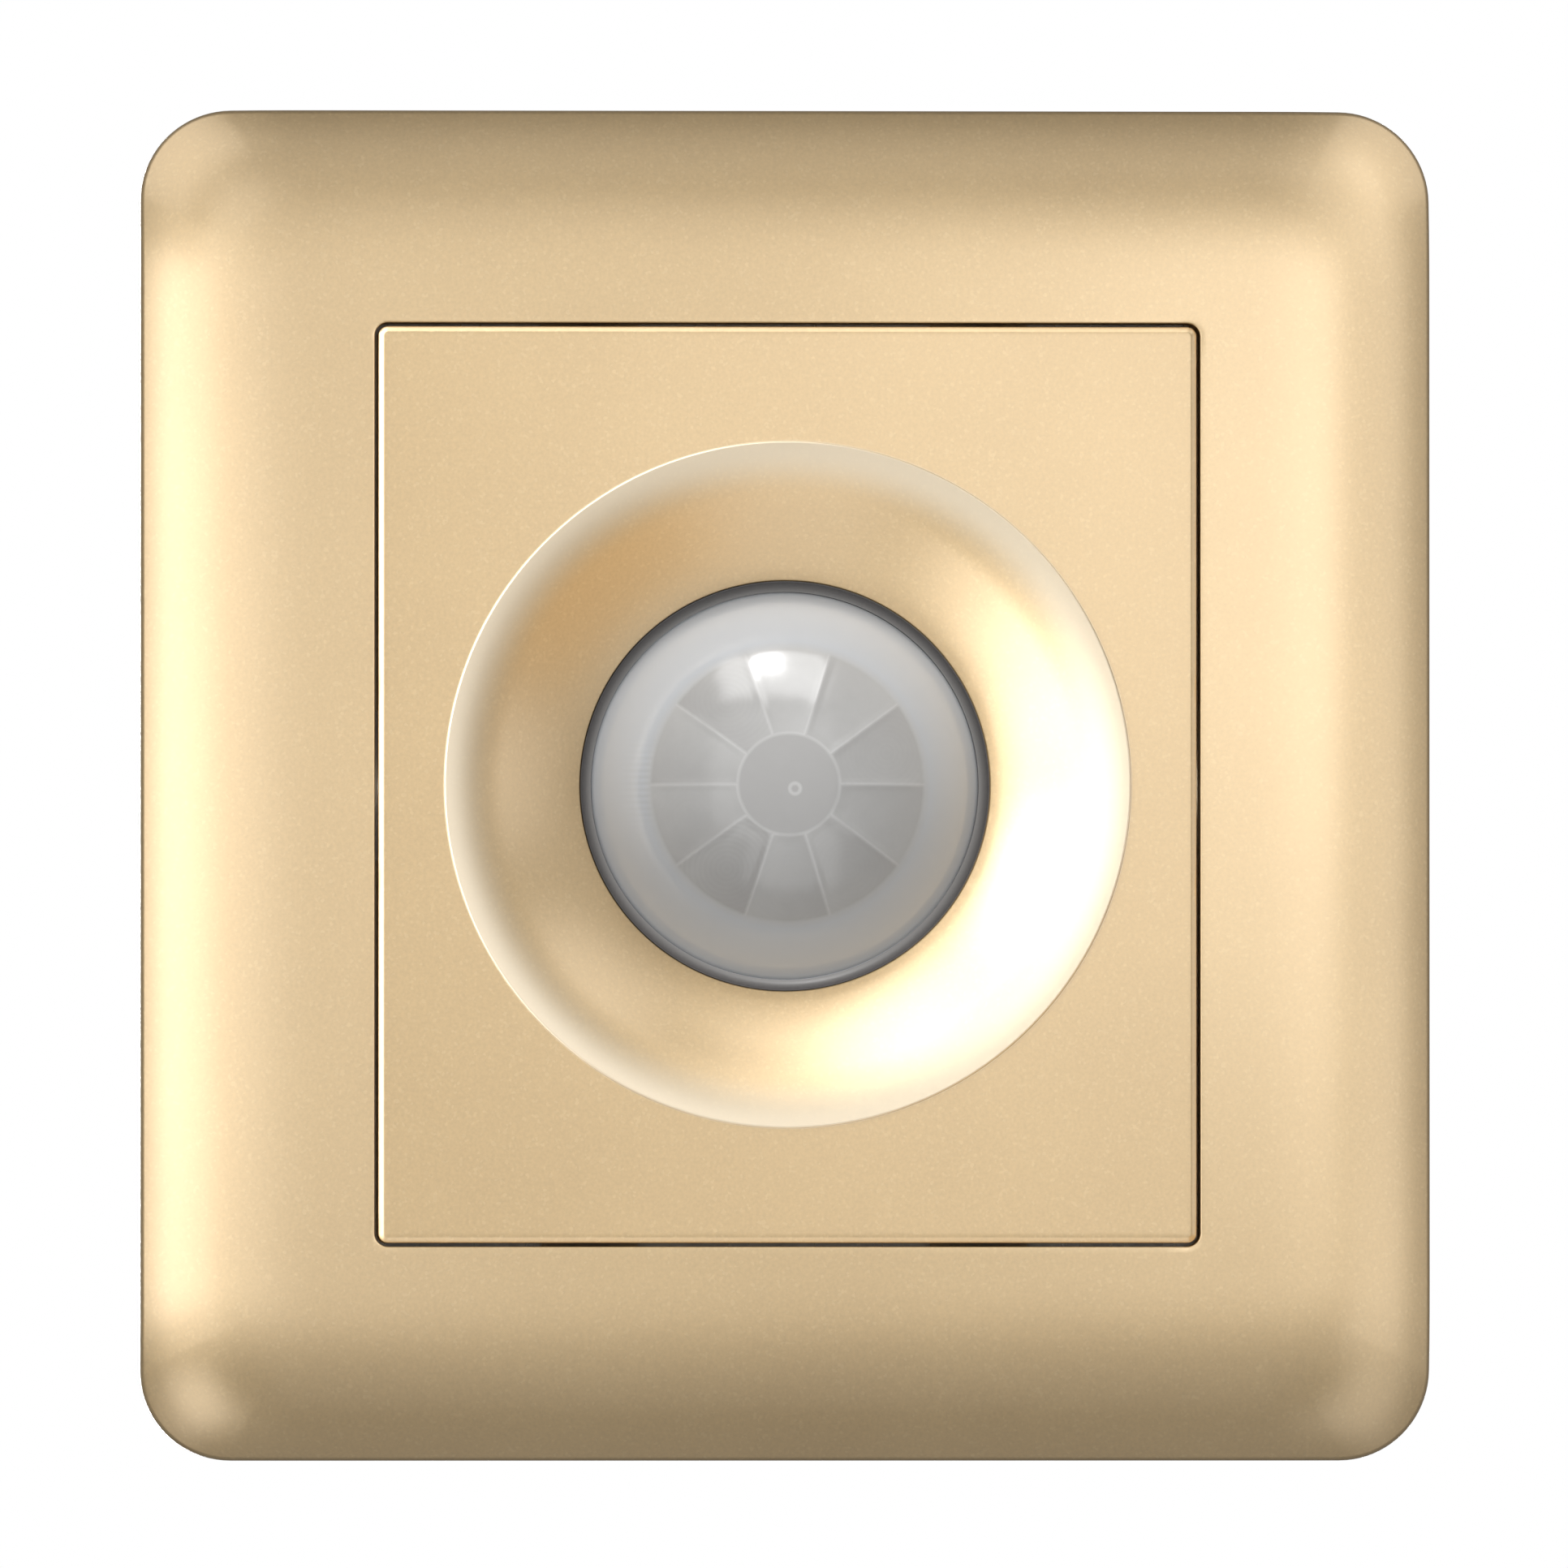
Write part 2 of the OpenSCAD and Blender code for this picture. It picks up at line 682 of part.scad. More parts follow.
module fresnel_lens() {
    color(milky) {
        dome_shell(dome_inner_r, dome_r);
        turned() {
            translate([neck_r, -lens_flange_y]) square([lens_r - neck_r, lens_flange_y - dome_foot_y]);
            translate([neck_r, -lens_flange_y - lens_flange_t]) square([flange_r - neck_r, lens_flange_t]);
        }
        intersection() {
            dome_shell(dome_inner_r - ridge, dome_inner_r + lens_wall / 4);
            union() {
                for (i = [0:facet_count - 1]) rotate([0, i * 360 / facet_count, 0])
                    translate([facet_inner_r, dome_y - dome_r, -ridge / 2])
                        cube([facet_outer_r - facet_inner_r, dome_r, ridge]);
                for (r = [facet_inner_r, facet_outer_r])
                    along_y(dome_y - dome_r, dome_foot_y) difference() {
                        circle(r + ridge / 2);
                        circle(r - ridge / 2);
                    }
            }
        }
    }
}

module lens_retainer() {
    color(black) along_y(retainer_y, cup_end_y) difference() {
        circle(flange_r);
        circle(neck_r + retainer_step);
    }
}

module mounting_bracket() {
    color(steel) along_y(bracket_y, 0) difference() {
        rounded_rect(bracket_w, bracket_h, bracket_corner_r);
        rounded_rect(housing_w + 2 * housing_fit, housing_h + 2 * housing_fit,
            housing_corner_r + housing_fit);
        for (s = [-1, 1]) translate([s * fixing_pitch / 2, 0]) {
            square([slot_l - slot_w, slot_w], center = true);
            for (e = [-1, 1]) translate([e * (slot_l - slot_w) / 2, 0]) circle(slot_w / 2);
        }
        for (sx = [-1, 1], sz = [-1, 1]) {
            translate([sx * tab_x, sz * tab_z])
                square([tab_w + 2 * tab_fit, tab_t + 2 * tab_fit], center = true);
            translate([sx * ear_x, sz * ear_z]) circle(ear_screw_r + screw_fit);
        }
    }
}

// A pan head screw along Y with a straight slot, its head towards +Y
module slotted_screw(r, l, head_r, head_h) {
    difference() {
        union() {
            bar_y(r, -l, 0);
            bar_y(head_r, 0, head_h);
        }
        translate([-head_r, head_h / 2, -head_r / 6]) cube([2 * head_r, head_h, head_r / 3]);
    }
}

module ear_screws() {
    color(steel) corners(ear_x, ear_z) translate([0, flange_y, 0]) rotate([180, 0, 0])
        slotted_screw(ear_screw_r, ear_tip_y - flange_y, ear_head_r, ear_head_h);
}

module rear_housing() {
    color(off_white) difference() {
        union() {
            along_y(flange_y, rear_y) rounded_rect(housing_w, housing_h, housing_corner_r);
            along_y(flange_y, bracket_y) {
                rounded_rect(face_w, face_h, face_corner_r);
                for (sx = [-1, 1], sz = [-1, 1]) translate([sx * ear_x, sz * ear_z]) {
                    circle(ear_r);
                    translate([0, -sz * ear_r / 2]) square([2 * ear_r, ear_r], center = true);
                }
            }
        }
        difference() {
            along_y(flange_y - cut, rear_inner_y) rounded_rect(inner_w, inner_h, inner_corner_r);
            corners(post_x, post_z) bar_y(boss_r, boss_y, rear_y);
            corners(inner_w / 2, rib_z) translate([0, (power_back_y + rear_y) / 2, 0])
                cube([2 * rib_reach, rear_y - power_back_y, rib_w], center = true);
        }
        screw_relief();
        corners(post_x, post_z) {
            bar_y(case_head_r + head_fit, case_seat_y, rear_y + cut);
            bar_y(case_screw_r + head_fit, boss_y - cut, rear_y);
        }
        corners(ear_x, ear_z) bar_y(ear_screw_r + screw_fit, flange_y - cut, 0);
        for (s = [-1, 1]) at([s * adjuster_x, adjuster_z])
            bar_y(spindle_r + spindle_room, rear_inner_y - cut, rear_y + cut);
        translate([-block_w / 2 - block_room, power_back_y - block_room, block_z - cut])
            cube([block_w + 2 * block_room, rear_y - power_back_y + 2 * cut,
                block_end_z - block_z + cut + block_room]);
    }
}

module case_screws() {
    color(steel) corners(post_x, post_z) translate([0, case_seat_y, 0])
        slotted_screw(case_screw_r, case_screw_l, case_head_r, case_head_h);
}

// Outline of both boards, with their corners cut away round the posts
module board_outline() {
    difference() {
        square([board_w, board_h], center = true);
        for (sx = [-1, 1], sz = [-1, 1])
            translate([sx * (corner_x + board_w / 2), sz * (corner_z + board_h / 2)])
                square([board_w, board_h], center = true);
    }
}

// Round holes through a board, at places in X and Z
module drilled(spots, r) {
    for (p = spots) translate(p) circle(r);
}

module sensor_board() {
    color(board_green) along_y(sensor_y, sensor_back_y) difference() {
        board_outline();
        for (sx = [-1, 1], sz = [-1, 1]) translate([sx * pillar_x, sz * pillar_z])
            circle(board_screw_r + screw_fit);
        drilled(pir_leads, pir_lead_r + lead_fit);
        drilled(concat(sensor_leads, timing_leads), lead_r + lead_fit);
        drilled(pin_spots, pin_r + lead_fit);
    }
}

module board_screws() {
    color(steel) corners(pillar_x, pillar_z) translate([0, sensor_back_y, 0])
        slotted_screw(board_screw_r, board_screw_l, board_head_r, board_head_h);
}

module board_spacers() {
    color(off_white) corners(spacer_x, pillar_z) along_y(sensor_back_y, power_y) difference() {
        circle(spacer_r);
        circle(spacer_bore_r);
    }
}

module power_board() {
    color(board_green) along_y(power_y, power_back_y) difference() {
        board_outline();
        drilled(power_leads, lead_r + lead_fit);
        drilled(pin_spots, pin_r + lead_fit);
        for (x = pole_spots) translate([x, leg_z + leg_t / 2])
            square([leg_w + 2 * lead_fit, leg_t + 2 * lead_fit], center = true);
    }
}

module header_block() {
    color(black) along_y(sensor_back_y, power_y) difference() {
        translate([0, header_z]) square([pin_count * pin_pitch, header_t], center = true);
        drilled(pin_spots, pin_r + lead_fit / 2);
    }
}

module header_pins() {
    color(brass) for (p = pin_spots) at(p) bar_y(pin_r, sensor_y - lead_tail, power_back_y + lead_tail);
}

module pir_can() {
    color(steel) difference() {
        bar_y(can_d / 2, sensor_y - can_h, sensor_y - stem_t);
        bar_y(can_d / 2 - can_wall, sensor_y - can_h + can_wall, sensor_y);
        translate([0, sensor_y - can_h, 0]) cube([can_window_w, 2, can_window_h], center = true);
    }
}

module pir_window() {
    color(black) translate([0, sensor_y - can_h + can_wall + filter_t / 2, 0])
        cube([can_window_w + 2 * filter_edge, filter_t, can_window_h + 2 * filter_edge], center = true);
}

module pir_stem() {
    color(sensor_gold) {
        bar_y(stem_r, sensor_y - stem_t, sensor_y);
        for (p = pir_leads) at(p) bar_y(pir_lead_r, sensor_y - stem_t, sensor_tail_y);
        bar_y(can_d / 4, sensor_y - can_h + can_wall + filter_t + close_gap, sensor_y - stem_t);
    }
}

module light_cell() {
    color(copper) at(cell_spot) {
        bar_y(cell_r, sensor_y - cell_stand - cell_t, sensor_y - cell_stand);
        for (s = [-1, 1]) at([s * sensor_pitch / 2, 0])
            bar_y(lead_r, sensor_y - cell_stand - cell_t / 2, sensor_tail_y);
    }
}

module status_led() {
    color("#c8413a") at(led_spot) {
        bar_y(led_r, sensor_y - led_h + led_r, sensor_y);
        translate([0, sensor_y - led_h + led_r, 0]) sphere(led_r);
        bar_y(led_r + led_rim, sensor_y - led_rim_t, sensor_y);
        for (s = [-1, 1]) at([s * sensor_pitch / 2, 0])
            bar_y(lead_r, sensor_y - lead_bite, sensor_tail_y);
    }
}

module signal_chip() {
    foot_pitch = 1.27;
    foot = [0.45, 0.6, 1];
    foot_reach = chip_h / 2 + foot[2] / 2 - close_gap;
    color(black) translate([0, sensor_y - close_gap - chip_t / 2, chip_z])
        cube([chip_w, chip_t, chip_h], center = true);
    color(steel) for (i = [-3:3], s = [-1, 1])
        translate([i * foot_pitch, sensor_y - foot[1] / 2, chip_z + s * foot_reach])
            cube(foot, center = true);
}

module chip_parts() {
    color("#8d7358") for (i = [0:small_count - 1])
        translate([(i - (small_count - 1) / 2) * small_pitch, sensor_y - small_size[1] / 2, small_z])
            cube(small_size, center = true);
}

// A can capacitor standing on a board at y0, its free end towards the given y1
module can_capacitor(d, y0, y1) {
    along = sign(y1 - y0);
    bar_y(d / 2, min(y0, y1), max(y0, y1));
    bar_y(d / 2 + can_bead, min(y0, y0 + along), max(y0, y0 + along));
}

module timing_capacitors() {
    color(black) {
        for (sx = [-1, 1]) at([sx * timing_x, timing_z])
            can_capacitor(timing_d, sensor_y, sensor_y - timing_h);
        for (p = timing_leads) at(p) bar_y(lead_r, sensor_y - lead_bite, sensor_tail_y);
    }
}

module relay_base() {
    color(black) along_y(power_back_y, power_back_y + relay_base_t) difference() {
        translate([relay_cx, relay_cz]) square([relay_w - 2 * (relay_wall + close_gap),
            relay_h - 2 * (relay_wall + close_gap)], center = true);
        drilled(relay_leads, lead_r + lead_fit);
    }
}

module relay_cover() {
    color(relay_blue) difference() {
        along_y(power_back_y, power_back_y + relay_depth) translate([relay_cx, relay_cz])
            rounded_rect(relay_w, relay_h, relay_wall);
        along_y(power_back_y - cut, relay_top_y) translate([relay_cx, relay_cz])
            square([relay_w - 2 * relay_wall, relay_h - 2 * relay_wall], center = true);
    }
}

module relay_yoke() {
    color(steel) {
        translate([yoke_x, yoke_y, relay_cz - yoke_h / 2]) cube([yoke_t, yoke_top_y - yoke_y, yoke_h]);
        translate([yoke_x, yoke_y, relay_cz - yoke_h / 2])
            cube([core_x - yoke_x + coil_r, yoke_t, yoke_h]);
        at([core_x, relay_cz]) {
            bar_y(core_r, yoke_y + yoke_t / 2, pole_y);
            bar_y(pole_r, pole_y - pole_t, pole_y);
        }
    }
}

module relay_coil() {
    color(copper) at([core_x, relay_cz]) difference() {
        bar_y(coil_r, yoke_y + yoke_t + close_gap, pole_y - pole_t - close_gap);
        bar_y(core_r + close_gap, yoke_y, pole_y);
    }
}

module relay_armature() {
    color(steel) translate([yoke_x - close_gap, armature_y, relay_cz - armature_h / 2])
        cube([core_x + pole_r + armature_over - yoke_x, armature_t, armature_h]);
}

module relay_moving_contact() {
    color(copper) {
        translate([core_x - pole_r, armature_y + armature_t, relay_cz - leaf_w / 2])
            cube([contact_x + rivet_r - core_x + pole_r, leaf_t, leaf_w]);
        at([contact_x, relay_cz]) bar_y(rivet_r, rivet_y, armature_y + armature_t + leaf_t / 2);
    }
}

module relay_fixed_contact() {
    color(copper) {
        translate([contact_x - blade_t / 2, yoke_y, relay_cz - blade_w / 2])
            cube([blade_t, fixed_y - rivet_t / 2 - yoke_y, blade_w]);
        at([contact_x, relay_cz]) bar_y(rivet_r, fixed_y - rivet_t, fixed_y);
    }
}

module relay_pins() {
    color(brass) leads(relay_leads, power_back_y + relay_base_t);
}

module film_capacitor() {
    color("#b5a13a") {
        translate([film_x - film_w / 2, power_back_y, film_z - film_h / 2])
            cube([film_w, film_depth, film_h]);
        leads(film_leads, power_back_y + lead_bite);
    }
}

module filter_capacitors() {
    color("#2a3f78") {
        for (p = filter_spots) at(p) can_capacitor(filter_d, power_back_y, power_back_y + filter_depth);
        leads(filter_leads, power_back_y + lead_bite);
    }
}

module varistor() {
    color(relay_blue) {
        translate([varistor_x, power_back_y + varistor_d / 2 + varistor_stand, varistor_z])
            rotate([0, 90, 0]) cylinder(d = varistor_d, h = varistor_t, center = true);
        leads(varistor_leads, power_back_y + varistor_stand + varistor_d / 4);
    }
}

// A round part lying on the board along Z, with thin wires out to its upright leads
module axial_part(r, l, reach) {
    translate([0, power_back_y + r + axial_stand, 0]) {
        cylinder(r = r, h = l, center = true);
        cylinder(r = wire_r, h = l + 2 * reach, center = true);
    }
}

module fuse_resistor() {
    color("#6f8f6a") {
        at([fuse_x, row_z]) rotate([0, 90, 0]) axial_part(fuse_r, fuse_l, fuse_reach);
        leads(fuse_leads, power_back_y + fuse_r + axial_stand + lead_r);
    }
}

module rectifier_diodes() {
    color(black) {
        for (p = diode_spots) at(p) axial_part(diode_r, diode_l, diode_reach);
        leads(diode_leads, power_back_y + diode_r + axial_stand + lead_r);
    }
}

module relay_driver() {
    body_y = power_back_y + driver_stand;
    color(black) {
        difference() {
            at([driver_x, driver_z]) bar_y(driver_r, body_y, body_y + driver_h);
            translate([driver_x - driver_r, body_y - cut, driver_z + driver_flat])
                cube([2 * driver_r, driver_h + 2 * cut, driver_r]);
        }
        leads(driver_leads, body_y + lead_bite);
    }
}

module adjuster_body(x) {
    color(relay_blue) {
        difference() {
            translate([x - adjuster_w / 2, power_back_y, adjuster_z - adjuster_w / 2])
                cube([adjuster_w, adjuster_h, adjuster_w]);
            at([x, adjuster_z])
                bar_y(spindle_r + spindle_fit, power_back_y + adjuster_h - spindle_depth, rear_y);
        }
        leads([for (p = adjuster_leads) if (sign(p[0]) == sign(x)) p], power_back_y + lead_bite);
    }
}

module spindle(x) {
    color(off_white) at([x, adjuster_z]) difference() {
        bar_y(spindle_r, power_back_y + adjuster_h - spindle_depth + close_gap, spindle_end_y);
        translate([-spindle_slot / 2, spindle_end_y - spindle_slot_depth, -spindle_r + spindle_slot / 2])
            cube([spindle_slot, spindle_slot_depth + cut, 2 * spindle_r]);
    }
}

module time_adjuster() {
    adjuster_body(-adjuster_x);
}

module time_spindle() {
    spindle(-adjuster_x);
}

module light_adjuster() {
    adjuster_body(adjuster_x);
}

module light_spindle() {
    spindle(adjuster_x);
}

module terminal_block() {
    color(terminal_green) for (x = pole_spots) translate([x, 0, 0]) difference() {
        translate([-pole_w / 2, power_back_y, block_z])
            cube([pole_w, block_top_y - power_back_y, block_end_z - block_z]);
        translate([-chamber_w / 2, power_back_y + block_floor, block_z + wire_wall])
            cube([chamber_w, chamber_top_y - power_back_y - block_floor,
                chamber_end_z - block_z - wire_wall]);
        translate([0, wire_y, block_z - cut]) cylinder(d = wire_d, h = wire_wall + 2 * cut);
        at([0, clamp_z + clamp_d / 2]) {
            bar_y(terminal_screw_r + terminal_fit, chamber_top_y - cut, block_top_y + cut);
            bar_y(terminal_head_r + terminal_fit, chamber_top_y + shoulder_t, block_top_y + cut);
        }
        translate([-leg_w / 2 - lead_fit, power_back_y - cut, leg_z - lead_fit])
            cube([leg_w + 2 * lead_fit, block_floor + 2 * cut, leg_t + 2 * lead_fit]);
    }
}

module terminal_contacts() {
    bar_w = clamp_window - 2 * terminal_fit;
    color(brass) for (x = pole_spots) translate([x, 0, 0]) {
        translate([-bar_w / 2, contact_y, clamp_z]) cube([bar_w, contact_t, leg_z + leg_t - clamp_z]);
        translate([-leg_w / 2, tail_y, leg_z]) cube([leg_w, contact_top_y - tail_y, leg_t]);
    }
}

// One clamp cage, open, with its threaded top round the screw
module terminal_clamp(i) {
    color(steel) translate([pole_spots[i], 0, 0]) difference() {
        translate([-clamp_w / 2, clamp_foot_y, clamp_z])
            cube([clamp_w, clamp_top_y - clamp_foot_y, clamp_d]);
        translate([-clamp_window / 2, wire_low_y, clamp_z - cut])
            cube([clamp_window, thread_y - wire_low_y, clamp_d + 2 * cut]);
        at([0, clamp_z + clamp_d / 2])
            bar_y(terminal_screw_r + screw_fit, thread_y - cut, clamp_top_y + cut);
    }
}

module terminal_screw(i) {
    color(steel) translate([pole_spots[i], head_y, clamp_z + clamp_d / 2])
        slotted_screw(terminal_screw_r, head_y - contact_top_y - close_gap / 2, terminal_head_r, head_h);
}

module terminal_clamp_1() {
    terminal_clamp(0);
}

module terminal_clamp_2() {
    terminal_clamp(1);
}

module terminal_clamp_3() {
    terminal_clamp(2);
}

module terminal_screw_1() {
    terminal_screw(0);
}

module terminal_screw_2() {
    terminal_screw(1);
}

module terminal_screw_3() {
    terminal_screw(2);
}

frame_cover();
sensor_face();
lens_bezel();
fresnel_lens();
lens_retainer();
mounting_bracket();
ear_screws();
rear_housing();
case_screws();
sensor_board();
board_screws();
board_spacers();
power_board();
header_block();
header_pins();
pir_can();
pir_window();
pir_stem();
light_cell();
status_led();
signal_chip();
chip_parts();
timing_capacitors();
relay_base();
relay_cover();
relay_yoke();
relay_coil();
relay_armature();
relay_moving_contact();
relay_fixed_contact();
relay_pins();
film_capacitor();
filter_capacitors();
varistor();
fuse_resistor();
rectifier_diodes();
relay_driver();
time_adjuster();
time_spindle();
light_adjuster();
light_spindle();
terminal_block();
terminal_contacts();
terminal_clamp_1();
terminal_clamp_2();
terminal_clamp_3();
terminal_screw_1();
terminal_screw_2();
terminal_screw_3();
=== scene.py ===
from math import atan2, cos, hypot, pi, radians, sin, sqrt, tan

import bmesh
import bpy
from mathutils import Matrix, Vector


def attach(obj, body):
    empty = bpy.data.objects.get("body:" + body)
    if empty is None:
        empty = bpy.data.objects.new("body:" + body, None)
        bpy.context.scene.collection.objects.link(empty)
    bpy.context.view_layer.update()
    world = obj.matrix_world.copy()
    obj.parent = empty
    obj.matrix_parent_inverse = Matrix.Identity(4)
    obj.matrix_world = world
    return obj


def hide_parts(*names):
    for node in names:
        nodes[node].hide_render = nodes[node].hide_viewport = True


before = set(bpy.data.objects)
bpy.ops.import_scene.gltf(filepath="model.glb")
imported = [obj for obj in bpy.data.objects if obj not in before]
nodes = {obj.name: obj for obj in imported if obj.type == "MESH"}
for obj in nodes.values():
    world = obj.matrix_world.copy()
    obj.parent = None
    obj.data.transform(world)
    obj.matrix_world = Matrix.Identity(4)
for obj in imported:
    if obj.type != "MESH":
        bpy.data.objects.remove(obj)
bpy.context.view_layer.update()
print("frame loaded:", len(nodes), "nodes")

# Meshes are drawn in millimetres and brought to metres when the piece is made
mm = 0.001
weld = 1e-4  # points closer than this are one
near = 1e-3  # slack when points are picked out by their place


# Small helpers for building meshes

def sweep(bm, edges, place):
    # grows a loop of edges by one row of faces and puts the new row where place says
    grown = bmesh.ops.extrude_edge_only(bm, edges=edges)["geom"]
    fresh = {g for g in grown if isinstance(g, bmesh.types.BMVert)}
    for v in fresh:
        v.co = Vector(place(v.co))
    return [g for g in grown if isinstance(g, bmesh.types.BMEdge) and set(g.verts) <= fresh]


def loopThrough(vert):
    # the closed loop of edges that a vertex lies on
    edges, edge, here = [], vert.link_edges[0], vert
    while edge not in edges[:1]:
        edges.append(edge)
        here = edge.other_vert(here)
        edge = next(e for e in here.link_edges if e != edges[-1])
    return edges


def roundedOutlines(bm, shapes, arcs, cuts, longEdge=10.0):
    # rounded rectangles in the wall's plane, widest first, each as a loop whose edges past longEdge are cut
    for halfX, halfZ, radius, y in shapes:
        corners = bmesh.ops.create_grid(bm, x_segments=1, y_segments=1, size=1.0)["verts"]
        for v in corners:
            v.co = Vector((v.co.x * halfX, y, v.co.y * halfZ))
        bmesh.ops.bevel(bm, geom=corners, offset=radius, offset_type="OFFSET", segments=arcs, profile=0.5,
                        affect="VERTICES", material=-1)
    bmesh.ops.delete(bm, geom=bm.faces[:], context="FACES_ONLY")
    straight = [e for e in bm.edges if e.calc_length() > longEdge]
    bmesh.ops.subdivide_edges(bm, edges=straight, cuts=cuts)
    loops, done = [], set()
    for edge in bm.edges:
        if edge not in done:
            loops.append(loopThrough(edge.verts[0]))
            done.update(loops[-1])
    return sorted(loops, key=lambda loop: -max(e.verts[0].co.x for e in loop))


def ringLoop(bm, radius, y, segments):
    # a circle round the lens axis, as a loop of edges
    made = bmesh.ops.create_circle(bm, cap_ends=False, segments=segments, radius=radius)["verts"]
    for v in made:
        v.co = Vector((v.co.x, y, v.co.y))
    return loopThrough(made[0])


def toRing(radius, y):
    # moves a point straight in or out to a circle round the lens axis
    def place(co):
        reach = hypot(co.x, co.z)
        return (co.x * radius / reach, y, co.z * radius / reach)
    return place


def atDepth(y):
    return lambda co: (co.x, y, co.z)


def spread(grow, halfX, halfZ, radius, y):
    # offsets a rounded rectangle's point outwards by grow, and sets its depth
    def place(co):
        nearX = max(radius - halfX, min(halfX - radius, co.x))
        nearZ = max(radius - halfZ, min(halfZ - radius, co.z))
        away = Vector((co.x - nearX, 0.0, co.z - nearZ))
        if away.length < 1e-6:
            return (co.x, y, co.z)
        away = away.normalized() * (away.length + grow)
        return (nearX + away.x, y, nearZ + away.z)
    return place


def edgesOf(verts):
    return list(dict.fromkeys(e for v in verts for e in v.link_edges))


def bridge(bm, loopA, loopB, standOff=8.0):
    # one loop stands off while the two are matched, because loops in one plane can pair up crosswise
    raised = list(dict.fromkeys(v for e in loopA for v in e.verts))
    bmesh.ops.translate(bm, vec=(0, standOff, 0), verts=raised)
    bmesh.ops.bridge_loops(bm, edges=loopA + loopB)
    bmesh.ops.translate(bm, vec=(0, -standOff, 0), verts=raised)


def softenEdges(bm, edges, width, segments):
    bmesh.ops.bevel(bm, geom=[e for e in edges if e.is_valid], offset=width, offset_type="OFFSET",
                    segments=segments, profile=0.5, affect="EDGES", material=-1, clamp_overlap=True)


def makePiece(name, bm, material, body, replaced, sharpAngle=32.0, evenWeight=60):
    bmesh.ops.recalc_face_normals(bm, faces=bm.faces)
    bmesh.ops.scale(bm, vec=(mm, mm, mm), verts=bm.verts)
    mesh = bpy.data.meshes.new(name)
    bm.to_mesh(mesh)
    bm.free()
    mesh.shade_smooth()
    mesh.set_sharp_from_angle(angle=radians(sharpAngle))
    mesh.materials.append(material)
    piece = bpy.data.objects.new(name, mesh)
    bpy.context.scene.collection.objects.link(piece)
    weighted = piece.modifiers.new("evenNormals", "WEIGHTED_NORMAL")
    weighted.keep_sharp = True
    weighted.weight = evenWeight
    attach(piece, body)
    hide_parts(replaced)
    print("piece", name, len(mesh.polygons), "faces")
    return piece


# Shader helpers

def addNode(tree, kind, **settings):
    made = tree.nodes.new(kind)
    for key, value in settings.items():
        setattr(made, key, value)
    return made


def setInputs(made, **values):
    for key, value in values.items():
        made.inputs[key.replace("_", " ")].default_value = value
    return made


def newGroup(name, inputs, outputs):
    tree = bpy.data.node_groups.new(name, "ShaderNodeTree")
    for label, kind in inputs:
        tree.interface.new_socket(name=label, in_out="INPUT", socket_type=kind)
    for label, kind in outputs:
        tree.interface.new_socket(name=label, in_out="OUTPUT", socket_type=kind)
    return tree, tree.nodes.new("NodeGroupInput"), tree.nodes.new("NodeGroupOutput")


def math(tree, operation, a, b=None, clamp=False):
    made = addNode(tree, "ShaderNodeMath", operation=operation, use_clamp=clamp)
    for i, value in enumerate((a, b)):
        if value is None:
            continue
        if isinstance(value, (int, float)):
            made.inputs[i].default_value = value
        else:
            tree.links.new(value, made.inputs[i])
    return made.outputs[0]


def blendColours(tree, factor, a, b):
    made = addNode(tree, "ShaderNodeMix", data_type="RGBA")
    for socket, value in ((made.inputs[0], factor), (made.inputs[6], a), (made.inputs[7], b)):
        if isinstance(value, tuple):
            socket.default_value = value + (1.0,)
        else:
            tree.links.new(value, socket)
    return made.outputs[2]


def remap(tree, value, fromLow, fromHigh, toLow, toHigh, kind="LINEAR"):
    made = addNode(tree, "ShaderNodeMapRange", interpolation_type=kind)
    tree.links.new(value, made.inputs[0])
    for i, number in enumerate((fromLow, fromHigh, toLow, toHigh), 1):
        if isinstance(number, (int, float)):
            made.inputs[i].default_value = number
        else:
            tree.links.new(number, made.inputs[i])
    return made.outputs[0]


def noise(tree, vector, scale, detail=2.0, roughness=0.5):
    made = addNode(tree, "ShaderNodeTexNoise")
    setInputs(made, Detail=detail, Roughness=roughness)
    if isinstance(scale, (int, float)):
        made.inputs["Scale"].default_value = scale
    else:
        tree.links.new(scale, made.inputs["Scale"])
    tree.links.new(vector, made.inputs["Vector"])
    return made.outputs[0]


def objectAxes(tree, place):
    split = addNode(tree, "ShaderNodeSeparateXYZ")
    tree.links.new(place.outputs["Object"], split.inputs[0])
    return split.outputs[0], split.outputs[1], split.outputs[2]


def fromAxis(tree, place, x0=0.0, z0=0.0):
    # millimetres from a line along y, which is the lens axis unless x0 and z0 say otherwise
    x, _, z = objectAxes(tree, place)
    dx, dz = math(tree, "SUBTRACT", x, x0), math(tree, "SUBTRACT", z, z0)
    square = math(tree, "ADD", math(tree, "MULTIPLY", dx, dx), math(tree, "MULTIPLY", dz, dz))
    return math(tree, "MULTIPLY", math(tree, "SQRT", square), 1 / mm)


